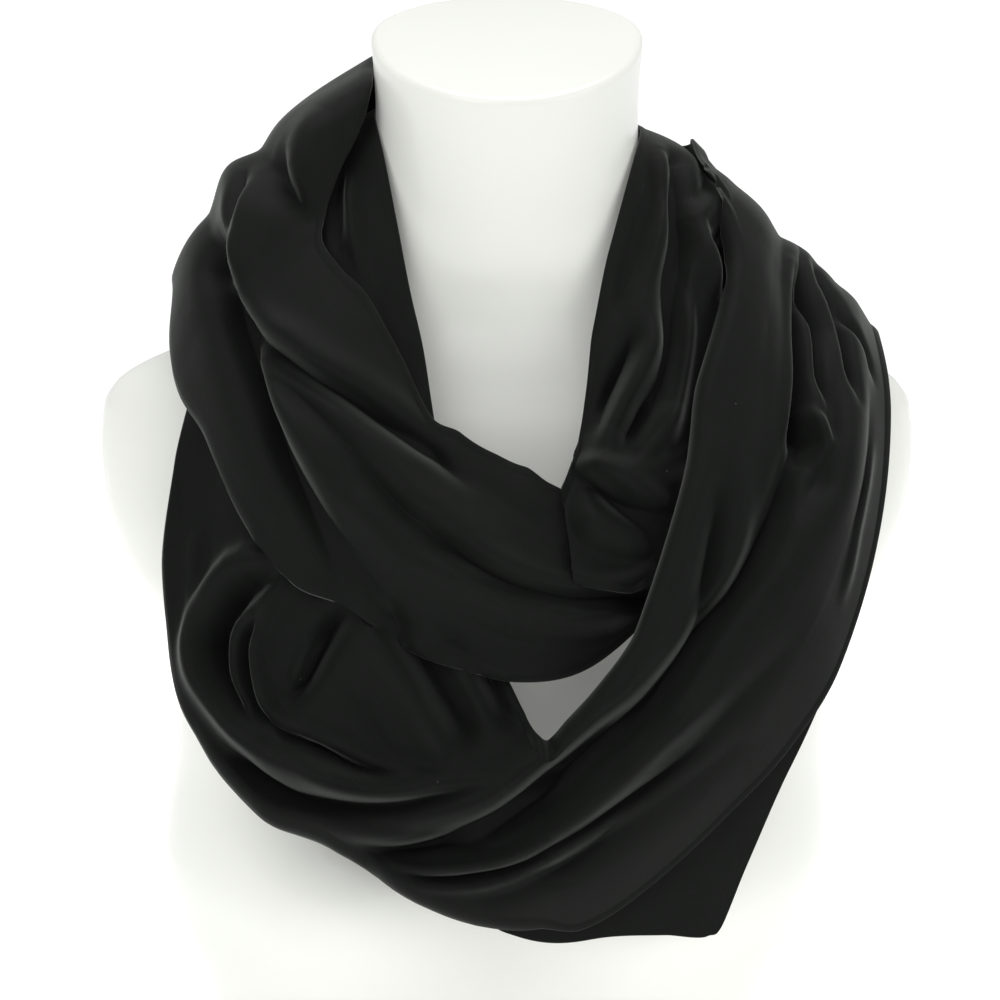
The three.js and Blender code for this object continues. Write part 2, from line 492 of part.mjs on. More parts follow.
// The place of one point of the strip: v runs from the inner edge (0) to the outer
// (1), and below 0 or above 1 it is in the cloth that turns under
function stripPoint(a, v) {
  const edgeAt = (edge, side) => {
    const t = column(edge, "a", "t", a);
    const turn = radians(column(edge, "a", "turn", a));
    return t - side * ROLL * Math.sin(Math.min(turn, Math.PI / 2)) / drapeFrame(a, t).perT;
  };
  const t = lerp(edgeAt(INNER_EDGE, -1), edgeAt(OUTER_EDGE, 1), clamp(v, 0, 1));
  const past = Math.max(v - 1, -v, 0);
  let h = height(a, t);
  let shift = 0;
  if (past > 0) {
    const [edge, side] = v > 1 ? [OUTER_EDGE, 1] : [INNER_EDGE, -1];
    const { perT } = drapeFrame(a, t);
    const floor = Math.max(underneath(a, t), underneath(a, t + side * ROLL / perT), LOWEST - 1.5);
    const room = clamp((h - floor) / ROLL, 0, 1.9);
    const turn = Math.max(Math.min(radians(column(edge, "a", "turn", a)), Math.acos(1 - room)), HEM / ROLL);
    shift = side * ROLL * Math.sin(turn * past) / perT;
    h -= ROLL * (1 - Math.cos(turn * past));
  }
  const frame = drapeFrame(a, t + shift);
  return frame.point.addScaledVector(frame.normal, h);
}

// A closed solid as thick as the cloth round a grid of steps, whose places a function
// gives. Each cell is split along the diagonal that lies nearer the cell's middle.
function wall(along, across, place) {
  const [n, m] = [along + 1, across + 1];
  const rows = [];
  for (let i = 0; i < n; i++) {
    rows.push([]);
    for (let j = 0; j < m; j++) rows.at(-1).push(place(i, j));
  }
  const at = (i, j) => rows[i][clamp(j, 0, m - 1)];
  const near = (i, j) => place(i + 0.1, j).sub(place(i - 0.1, j));
  const normal = (i, j) => (i === 0 || i === along ? near(i, j) : at(i + 1, j).clone().sub(at(i - 1, j)))
    .cross(at(i, j + 1).clone().sub(at(i, j - 1))).normalize();
  const vertices = [];
  for (const side of [-0.5, 0.5])
    for (let i = 0; i < n; i++)
      for (let j = 0; j < m; j++)
        vertices.push(...at(i, j).clone().addScaledVector(normal(i, j), -side * CLOTH).toArray());
  const id = (side, i, j) => side * n * m + i * m + j;
  const faces = [];
  const quad = (p, q, r, s) => faces.push(p, q, r, p, r, s);
  const offMiddle = (p, q, middle) => p.clone().add(q).multiplyScalar(0.5).distanceTo(middle);
  for (let i = 0; i < along; i++)
    for (let j = 0; j < across; j++) {
      const middle = place(i + 0.5, j + 0.5);
      const turned = offMiddle(at(i, j), at(i + 1, j + 1), middle) > offMiddle(at(i, j + 1), at(i + 1, j), middle);
      for (const side of [0, 1]) {
        const corners = [id(side, i, j), id(side, i, j + 1), id(side, i + 1, j + 1), id(side, i + 1, j)];
        if (turned) corners.push(corners.shift());
        quad(...(side === 1 ? corners : corners.reverse()));
      }
    }
  for (let i = 0; i < along; i++) {
    quad(id(0, i, 0), id(1, i, 0), id(1, i + 1, 0), id(0, i + 1, 0));
    quad(id(0, i + 1, across), id(1, i + 1, across), id(1, i, across), id(0, i, across));
  }
  for (let j = 0; j < across; j++) {
    quad(id(1, 0, j + 1), id(1, 0, j), id(0, 0, j), id(0, 0, j + 1));
    quad(id(0, along, j), id(1, along, j), id(1, along, j + 1), id(0, along, j + 1));
  }
  return solid(vertices, faces);
}

function solid(vertices, faces) {
  const geometry = new THREE.BufferGeometry();
  geometry.setAttribute("position", new THREE.Float32BufferAttribute(vertices, 3));
  geometry.setIndex(faces);
  geometry.computeVertexNormals();
  return geometry;
}

// How many degrees of the strip to leave off at a seam, for half its clearance square
// to the seam all the way across
function seamCut(a) {
  let cut = 0;
  for (let v = -0.5; v <= 1.5; v += 0.125) {
    const along = stripPoint(a + 0.5, v).sub(stripPoint(a - 0.5, v));
    const across = stripPoint(a, v + 0.05).sub(stripPoint(a, v - 0.05)).normalize();
    const square = along.clone().addScaledVector(across, -along.dot(across)).length();
    cut = Math.max(cut, SEAM / 2 / square);
  }
  return cut;
}

// One stretch of the strip, from one angle to another
function stretch({ from, to, along, across, rollIn, rollOut }) {
  const [start, end] = [from + seamCut(from), to - seamCut(to)];
  return wall(along, rollIn + across + rollOut, (i, j) => {
    const k = j - rollIn;
    const v = k < 0 ? k / rollIn : k <= across ? k / across : 1 + (k - across) / rollOut;
    return stripPoint(lerp(start, end, i / along), v);
  });
}

// The flat layer that hangs below, held at its inner edge by the strip over it
function underLayer(steps, across) {
  const rows = UNDER_LAYER.map((row, i) => ({ ...row, i }));
  return wall((rows.length - 1) * steps, across, (i, j) => {
    const size = (name) => column(rows, "i", name, i / steps);
    const v = (j / across) ** 1.5;
    const [a, t] = [size("a"), lerp(size("tIn"), size("tOut"), v)];
    const held = height(TURN + a, t) - CLOTH - HELD;
    const frame = drapeFrame(a, t);
    return frame.point.addScaledVector(frame.normal, lerp(held, size("h"), smooth(v, 0, 0.5)));
  });
}

// The form: rings from the base up, closed by a fan at each end
function formGeometry(around) {
  const vertices = [];
  const faces = [];
  const height = FORM.at(-1).z;
  const levels = FORM.slice(0, -1).flatMap((row, k) => [row.z, (row.z + FORM[k + 1].z) / 2]).concat(height);
  for (const z of levels) {
    const size = (name) => column(FORM, "z", name, z);
    const tilt = NECK_CUT * smooth(z, 456, height);
    for (let i = 0; i < around; i++) {
      const a = 2 * Math.PI * i / around;
      const [c, s] = [Math.cos(a), Math.sin(a)];
      const r = reach(c, s, size("half"), s > 0 ? size("front") : size("back"), size("square"));
      const x = -r * c;
      const leant = x + LEAN * (1 - smooth(z, 0, 300));
      const mound = Math.exp(-(((Math.abs(x) - BUST.x) / BUST.wide) ** 2) - (((z - BUST.z) / BUST.high) ** 2));
      const y = -r * s - BUST.deep * mound * smooth(s, 0, 0.6);
      vertices.push(leant, y, z + tilt * (y + 10));
    }
  }
  const top = levels.length - 1;
  const ring = (k, i) => k * around + (i % around);
  for (let k = 0; k < top; k++)
    for (let i = 0; i < around; i++)
      faces.push(ring(k, i), ring(k, i + 1), ring(k + 1, i + 1), ring(k, i), ring(k + 1, i + 1), ring(k + 1, i));
  const [below, above] = [vertices.length / 3, vertices.length / 3 + 1];
  vertices.push(LEAN, 0, 0, 0, -10, height);
  for (let i = 0; i < around; i++) {
    faces.push(below, ring(0, i + 1), ring(0, i));
    faces.push(above, ring(top, i), ring(top, i + 1));
  }
  return solid(vertices, faces);
}

const jersey = new THREE.MeshStandardMaterial({ color: 0x1e201e, roughness: 0.85, metalness: 0 });
const shell = new THREE.MeshStandardMaterial({ color: 0xe9eae3, roughness: 0.35, metalness: 0 });

// The stretches that show, a row for each: its angles, and the steps of its grid
const STRETCHES = [
  { name: "inner_right", from: 106, to: 205, along: 20, across: 12, rollIn: 1, rollOut: 1 },
  { name: "inner_back", from: 205, to: 335, along: 16, across: 12, rollIn: 1, rollOut: 1 },
  { name: "inner_left", from: 335, to: 390, along: 12, across: 18, rollIn: 2, rollOut: 2 },
  { name: "lower_swag", from: 390, to: 468, along: 26, across: 18, rollIn: 2, rollOut: 2 },
  { name: "outer_right", from: 468, to: 550, along: 20, across: 18, rollIn: 2, rollOut: 2 },
  { name: "outer_back", from: 550, to: 700, along: 22, across: 18, rollIn: 2, rollOut: 2 },
  { name: "upper_swag", from: 700, to: 848, along: 40, across: 18, rollIn: 2, rollOut: 2 },
];

const part = new THREE.Group();
function add(name, geometry, material) {
  const mesh = new THREE.Mesh(geometry, material);
  mesh.name = name;
  part.add(mesh);
}
add("dress_form", formGeometry(40), shell);
for (const row of STRETCHES) add(row.name, stretch(row), jersey);
add("under_layer", underLayer(2, 5), jersey);

// The origin is the middle of the bounding box's bottom
const box = new THREE.Box3().setFromObject(part);
const middle = box.getCenter(new THREE.Vector3());
for (const mesh of part.children) mesh.geometry.translate(-middle.x, -middle.y, -box.min.z);

export default part;
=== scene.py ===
# %% [markdown]
# # A jersey infinity scarf on a display form
# The object is one closed loop of fine black jersey, wound twice round the neck of a glossy, headless
# and armless display form. This lesson builds it in Blender from numbers alone. The scarf is a strip
# that runs round the neck on an invisible guide surface, the drape; folds are added to its height over
# the drape; and a procedural knit gives it its bloom. Every length is worked out in millimetres and goes
# into Blender in metres.

import bpy
import numpy as np
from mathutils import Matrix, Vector


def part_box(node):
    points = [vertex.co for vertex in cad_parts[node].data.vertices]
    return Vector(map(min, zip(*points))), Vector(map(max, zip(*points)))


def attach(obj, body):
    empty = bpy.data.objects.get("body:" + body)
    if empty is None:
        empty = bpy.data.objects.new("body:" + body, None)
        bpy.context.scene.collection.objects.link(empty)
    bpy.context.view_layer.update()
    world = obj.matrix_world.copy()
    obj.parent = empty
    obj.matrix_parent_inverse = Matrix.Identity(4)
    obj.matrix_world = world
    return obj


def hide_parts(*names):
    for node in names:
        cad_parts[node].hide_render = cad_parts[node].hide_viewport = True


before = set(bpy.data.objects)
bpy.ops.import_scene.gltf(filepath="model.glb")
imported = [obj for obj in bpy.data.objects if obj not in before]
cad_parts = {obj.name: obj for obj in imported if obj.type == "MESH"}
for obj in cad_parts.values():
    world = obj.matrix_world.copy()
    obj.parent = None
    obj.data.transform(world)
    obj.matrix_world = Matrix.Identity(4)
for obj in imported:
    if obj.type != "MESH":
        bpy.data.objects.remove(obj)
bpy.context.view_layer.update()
MM = 0.001

# %% [markdown]
# ## Sizes in short tables
# A draped scarf has no straight edges, so its sizes are rows of numbers: where each edge lies at an
# angle round the neck, how high it stands, how far it turns under. A smooth curve through the rows gives
# every place between them. The angle is 90 at the front and 270 at the back, and it goes on past 360,
# because the strip is wound more than once: it starts under the front at 106 and comes back to its own
# start two turns later, at 826.


# %% A table with named columns, and a smooth curve through one of them
def table(names, *rows):
    """Rows of numbers under named columns."""
    return dict(zip(names.split(), np.array(rows, float).T))


def column(rows, key, name, at):
    """A column at any place along the table: cubic pieces whose slope at a row is the harmonic mean of
    the rises beside it, or 0 at a turning point, so the curve never passes its rows. Beyond the ends it
    is a straight line."""
    x, y = rows[key], rows[name]
    rise = np.diff(y) / np.diff(x)
    product = rise[:-1] * rise[1:]
    total = np.where(product > 0, rise[:-1] + rise[1:], 1)
    slope = np.concatenate([rise[:1], np.where(product > 0, 2 * product / total, 0), rise[-1:]])
    at = np.asarray(at, float)
    i = np.clip(np.searchsorted(x, at) - 1, 0, len(x) - 2)
    span = x[i + 1] - x[i]
    u = np.clip((at - x[i]) / span, 0, 1)
    curve = (2 * u**3 - 3 * u**2 + 1) * y[i] + (3 * u**2 - 2 * u**3) * y[i + 1]
    curve += ((u**3 - 2 * u**2 + u) * slope[i] + (u**3 - u**2) * slope[i + 1]) * span
    below, above = np.minimum(at - x[0], 0), np.maximum(at - x[-1], 0)
    return curve + below * slope[0] + above * slope[-1]


def smooth(x, low, high):
    """0 below low, 1 above high, and the S-curve 3u² - 2u³ between."""
    u = np.clip((x - low) / (high - low), 0, 1)
    return u * u * (3 - 2 * u)


def mix(p, q, u):
    return p + (q - p) * u


# %% [markdown]
# The drape is the guide surface: seven loops round the neck, the first tight against it and the last far
# out on the chest. The strip's two edges, its crest and its folds are then given on the drape, by angle
# and by t.

# %% The drape's loops
FORM = table(
    "z half front back square",
    (0, 124, 84, 76, 2.3),
    (40, 132, 84, 78, 2.3),
    (78, 144, 86, 81, 2.3),
    (112, 158, 88, 86, 2.3),
    (152, 167, 91, 92, 2.4),
    (205, 162, 90, 98, 2.4),
    (250, 162, 85, 101, 2.4),
    (272, 172, 80, 101, 2.3),
    (295, 187, 75, 100, 2.2),
    (325, 197, 68, 97, 2.1),
    (352, 200, 60, 91, 2),
    (374, 198, 53, 84, 2),
    (386, 191, 48, 78, 2),
    (396, 175, 45, 72, 2),
    (406, 148, 44, 66, 2),
    (418, 114, 45, 59, 2),
    (433, 87, 49, 54, 2),
    (453, 71, 56, 49, 2),
    (482, 64, 62, 46, 2),
    (518, 63, 68, 44, 2),
    (552, 65, 72, 44, 2),
)

DRAPE = table(
    "t left right front back zLeft zRight zFront zBack fallLeft fallRight squareLeft squareRight",
    (0, 61.5, 60.5, 68, 49, 514, 504, 385, 518, 2.6, 2.9, 2, 2),
    (0.25, 88, 90, 94, 84, 492, 474, 340, 476, 1.8, 1.9, 2.4, 2.2),
    (0.5, 112, 114, 114, 108, 465, 448, 283, 426, 1.45, 1.55, 2.7, 2.4),
    (0.75, 132, 137, 127, 122, 440, 426, 220, 376, 1.35, 1.5, 3, 2.6),
    (1, 148, 162, 136, 131, 420, 408, 152, 326, 1.25, 1.5, 3.2, 2.7),
    (1.25, 162, 178, 142, 137, 410, 400, 95, 286, 1.2, 1.5, 3.2, 2.7),
    (1.5, 170, 188, 144, 141, 403, 393, 40, 246, 1.2, 1.5, 3.2, 2.7),
)

INNER_EDGE = table(
    "a t h turn",
    (106, 0.25, 8, 60),
    (112, 0.2, 6, 40),
    (118, 0.13, 5, 25),
    (124, 0.07, 4, 20),
    (136, 0.03, 4, 20),
    (166, 0.01, 4, 20),
    (188, 0, 6, 20),
    (205, 0, 4, 20),
    (352, 0, 4, 20),
    (383, 0.01, 4, 20),
    (399, 0.03, 4, 20),
    (411, 0.06, 4, 20),
    (417, 0.08, 4, 20),
    (425, 0.15, 4, 20),
    (433, 0.28, 4, 20),
    (442, 0.44, 4, 20),
    (450, 0.56, 8, 35),
    (456, 0.65, 13, 60),
    (459, 0.675, 16, 75),
    (463, 0.655, 19, 90),
    (470, 0.625, 24, 115),
    (476, 0.6, 27, 120),
    (480, 0.56, 28, 120),
    (486, 0.5, 29, 120),
    (492, 0.445, 30, 120),
    (501, 0.36, 29, 120),
    (509, 0.347, 27, 110),
    (516, 0.34, 25, 100),
    (521, 0.325, 23, 95),
    (527, 0.27, 20, 85),
    (534, 0.18, 17, 75),
    (545, 0.13, 13, 60),
    (556, 0.17, 12, 60),
    (570, 0.2, 12, 60),
    (612, 0.2, 12, 60),
    (640, 0.15, 14, 60),
    (670, 0.03, 20, 60),
    (700, -0.09, 27, 60),
    (718, -0.09, 22, 60),
    (730, -0.07, 20, 50),
    (734, -0.035, 18, 45),
    (737, 0.02, 15, 40),
    (740, 0.125, 15, 35),
    (743, 0.205, 15, 30),
    (747, 0.238, 15, 30),
    (754, 0.212, 15, 30),
    (763, 0.17, 15, 30),
    (774, 0.16, 14, 30),
    (784, 0.175, 13, 30),
    (793, 0.14, 12, 30),
    (804, 0.13, 11, 30),
    (816, 0.16, 10, 30),
    (823, 0.22, 8, 25),
    (835, 0.32, 5, 20),
    (848, 0.36, 4, 20),
)

OUTER_EDGE = table(
    "a t h turn",
    (106, 0.42, 8, 40),
    (112, 0.47, 7, 25),
    (120, 0.53, 6, 20),
    (130, 0.54, 5, 20),
    (150, 0.46, 5, 20),
    (166, 0.43, 5, 20),
    (205, 0.42, 5, 20),
    (335, 0.44, 5, 20),
    (352, 0.55, 5, 20),
    (365, 0.76, 6, 20),
    (375, 0.93, 14, 60),
    (380, 1.05, 21, 100),
    (386, 1.18, 25, 130),
    (397, 1.235, 24, 140),
    (408, 1.15, 20, 140),
    (419, 1.03, 17, 120),
    (434, 0.995, 15, 90),
    (447, 0.985, 13, 60),
    (456, 0.99, 12, 40),
    (464, 1.03, 12, 20),
    (477, 1.07, 12, 20),
    (487, 1.12, 12, 20),
    (498, 1.21, 14, 20),
    (506, 1.26, 15, 20),
    (528, 1.26, 12, 25),
    (540, 1.22, 8, 30),
    (560, 1.12, 11, 60),
    (590, 1, 13, 90),
    (640, 0.92, 13, 90),
    (690, 0.95, 16, 100),
    (715, 1, 20, 130),
    (723, 1.01, 22, 150),
    (731, 0.92, 26, 150),
    (738, 0.84, 27, 150),
    (747, 0.75, 26, 140),
    (758, 0.71, 25, 130),
    (768, 0.67, 23, 120),
    (777, 0.6, 21, 110),
    (790, 0.57, 18, 90),
    (801, 0.55, 15, 70),
    (813, 0.56, 12, 60),
    (830, 0.59, 7, 40),
    (848, 0.6, 4, 20),
)

CREST = table(
    "a h v",
    (106, 14, 0.5),
    (113, 19, 0.5),
    (124, 18, 0.5),
    (150, 13, 0.5),
    (186, 15, 0.42),
    (210, 13, 0.45),
    (270, 9, 0.5),
    (352, 9, 0.5),
    (383, 10, 0.6),
    (399, 14, 0.78),
    (410, 19, 0.84),
    (425, 21, 0.8),
    (440, 23, 0.7),
    (450, 25, 0.56),
    (458, 28, 0.44),
    (470, 33, 0.34),
    (490, 37, 0.35),
    (510, 39, 0.4),
    (530, 29, 0.45),
    (560, 22, 0.5),
    (640, 26, 0.5),
    (700, 31, 0.5),
    (722, 31, 0.5),
    (734, 34, 0.5),
    (760, 33, 0.55),
    (775, 31, 0.55),
    (790, 28, 0.5),
    (810, 23, 0.5),
    (826, 14, 0.5),
    (848, 6, 0.5),
)

UNDER_LAYER = table(
    "a tIn tOut h",
    (84, 0.8, 0.955, 5),
    (88, 0.8, 0.99, 5),
    (92, 0.8, 1.005, 5),
    (108, 0.84, 1.09, 5),
    (118, 0.88, 1.225, 5),
    (124.5, 0.92, 1.375, 5),
    (126.5, 0.94, 1.41, 5),
    (131, 0.96, 1.35, 5),
    (138, 1, 1.3, 5),
    (146, 1.02, 1.3, 5),
    (155, 1.04, 1.31, 5),
    (163, 1.06, 1.31, 5),
    (172, 1.08, 1.27, 5),
)

FOLDS = {
    "long valley": [
        (454, 0.79, -3, 9), (462, 0.76, -8, 10), (479, 0.71, -12, 12), (499, 0.7, -14, 13),
        (511, 0.69, -14, 13), (520, 0.64, -13, 13), (534, 0.56, -9, 14), (570, 0.54, -4, 15),
        (640, 0.55, -7, 15), (700, 0.62, -6, 14), (720, 0.63, -4, 12), (738, 0.54, -13, 10),
        (750, 0.51, -11, 9), (770, 0.51, -10, 9), (785, 0.545, -8, 9),
    ],
    "shoulder valley": [
        (560, 0.26, -6, 11), (620, 0.3, -8, 12), (690, 0.34, -5, 12), (716, 0.36, -5, 11),
        (728, 0.31, -8, 10), (736, 0.28, -10, 9), (747, 0.22, -5, 8),
    ],
    "shoulder ridge": [
        (690, 0.46, 4, 12), (715, 0.46, 3, 11), (732, 0.46, 5, 9), (741, 0.48, 2, 8),
    ],
    "cross valley": [
        (743, 0.5, -6, 8), (748, 0.48, -9, 8), (757, 0.4, -10, 8), (768, 0.32, -9, 8),
        (779, 0.265, -7, 8), (790, 0.235, -5, 7), (800, 0.235, -1, 6),
    ],
    "chest ridge": [
        (752, 0.46, 3, 9), (768, 0.37, 7, 9), (782, 0.33, 8, 10), (798, 0.32, 8, 11),
        (814, 0.37, 8, 10), (826, 0.44, 6, 9), (839, 0.51, 3, 8),
    ],
    "chest valley": [
        (752, 0.5, -5, 8), (765, 0.425, -8, 8), (777, 0.385, -8, 8), (790, 0.37, -8, 8),
        (806, 0.385, -8, 8), (817, 0.42, -8, 8), (828, 0.475, -7, 7), (840, 0.55, -4, 7),
    ],
    "lower ridge": [
        (776, 0.44, 3, 9), (799, 0.42, 6, 9), (817, 0.455, 6, 9), (832, 0.52, 4, 8),
    ],
    "outer valley": [
        (600, 0.78, -2, 12), (570, 0.78, -1, 12), (534, 0.74, -4, 10), (528, 0.79, -9, 10),
        (521, 0.85, -10, 9), (513, 0.85, -11, 8), (508, 0.82, -4, 8),
    ],
    "outer ridge": [
        (540, 0.86, -3, 12), (526, 0.92, 4, 11), (516, 0.95, 6, 11), (504, 0.9, 3, 12),
    ],
    "front valley one": [
        (398, 1.18, -3, 9), (407, 1.07, -7, 9), (417, 0.97, -8, 9), (429, 0.88, -8, 9),
        (444, 0.8, -8, 9), (456, 0.74, -8, 8), (469, 0.7, -3, 8),
    ],
    "front valley two": [
        (413, 1.05, -3, 8), (425, 0.97, -6, 8), (439, 0.88, -7, 8), (455, 0.83, -6, 8),
        (468, 0.81, -5, 8), (480, 0.83, -3, 8),
    ],
    "front valley three": [
        (426, 1, -2, 7), (437, 0.93, -5, 7), (453, 0.88, -5, 7), (468, 0.89, -5, 8),
        (480, 0.92, -4, 8), (490, 0.98, -2, 8),
    ],
    "hook ridge": [
        (403, 0.7, 5, 10), (399, 0.79, 9, 10), (397, 0.91, 11, 10), (396, 1.02, 11, 10),
        (398, 1.06, 11, 10), (403, 1.03, 11, 9), (409, 0.985, 10, 9), (417, 0.915, 9, 9),
        (425, 0.845, 8, 9), (434, 0.785, 7, 9), (446, 0.73, 5, 9), (458, 0.7, 3, 9),
    ],
    "inner hook": [
        (400, 0.84, -6, 8), (399, 0.95, -9, 8), (402, 0.985, -9, 8), (408, 0.93, -8, 7),
        (417, 0.855, -7, 7), (428, 0.78, -5, 7), (438, 0.73, -3, 7),
    ],
    "panel fold": [
        (416, 0.64, -4, 8), (413, 0.73, -7, 8), (410, 0.83, -5, 8),
    ],
    "right pleat one": [
        (170, 0.1, -4, 6), (150, 0.11, -6, 6), (138, 0.145, -6, 6), (127, 0.185, -6, 6),
        (119, 0.21, -3, 6),
    ],
    "right pleat two": [
        (190, 0.22, -4, 7), (160, 0.21, -6, 7), (140, 0.26, -6, 6), (124, 0.27, -5, 6),
    ],
    "tuck valley": [
        (109, 0.235, -3, 6), (116, 0.32, -6, 6), (121, 0.4, -6, 6), (127, 0.5, -4, 6),
    ],
    "tuck ridge": [
        (112, 0.235, 3, 5), (118, 0.29, 5, 6), (124, 0.35, 5, 6), (134, 0.43, 4, 6),
    ],
    "left pleat": [
        (352, 0.12, -4, 7), (384, 0.09, -5, 6), (404, 0.11, -5, 6), (418, 0.16, -3, 6),
    ],
    "inner back valley": [
        (210, 0.18, -4, 9), (270, 0.2, -5, 10), (335, 0.2, -4, 9),
    ],
}
# %% Fine folds behind, on the drape in the same way, made like those in front
FINE_BEHIND = {
    "back crease one": [
        (552, 0.3, -3, 6), (580, 0.27, -7, 5), (620, 0.29, -8, 5),
        (660, 0.33, -7, 5), (692, 0.36, -4, 6),
    ],
    "back crease two": [
        (556, 0.6, -3, 6), (590, 0.66, -7, 5), (630, 0.68, -9, 5),
        (668, 0.65, -7, 5), (705, 0.6, -3, 6),
    ],
    "back crease three": [(560, 0.84, -3, 6), (600, 0.8, -7, 5), (640, 0.83, -7, 5), (685, 0.8, -4, 6)],
    "back ridge one": [(560, 0.44, 2, 9), (600, 0.46, 5, 8), (640, 0.48, 5, 9), (690, 0.47, 3, 9)],
    "back ridge two": [(575, 0.75, 2, 8), (615, 0.74, 5, 7), (655, 0.74, 4, 8), (690, 0.71, 2, 8)],
    "back gather one": [(596, 0.16, -3, 4), (610, 0.26, -5, 4), (628, 0.4, -6, 4), (648, 0.52, -3, 5)],
    "back gather two": [(676, 0.56, -3, 4), (660, 0.44, -5, 4), (652, 0.3, -5, 4), (648, 0.18, -2, 4)],
    "back gather three": [(572, 0.92, -2, 5), (590, 0.88, -5, 4), (612, 0.9, -3, 5)],
    "inner back crease one": [
        (196, 0.14, -2, 4), (225, 0.12, -5, 4), (262, 0.14, -5, 4),
        (300, 0.13, -5, 4), (338, 0.15, -2, 4),
    ],
    "inner back crease two": [
        (205, 0.28, -2, 4), (240, 0.3, -5, 4),
        (280, 0.28, -5, 4), (325, 0.31, -3, 4),
    ],
}

# %% [markdown]
# The fine folds in front were followed on the photograph. A line is a few places in the picture, in
# pixels from its upper left corner, and the strip's own surface says later where on the cloth they lie.


# %% Fine folds in front, as lines in the picture
def followed(part, high, wide, fade, pixels):
    """The stretch that the fold lies on, its height and width in millimetres, the share of its length over
    which it rises at each end, and its places in the picture, x then y."""
    return dict(part=part, high=high, wide=wide, fade=fade, pixels=np.array(pixels, float))


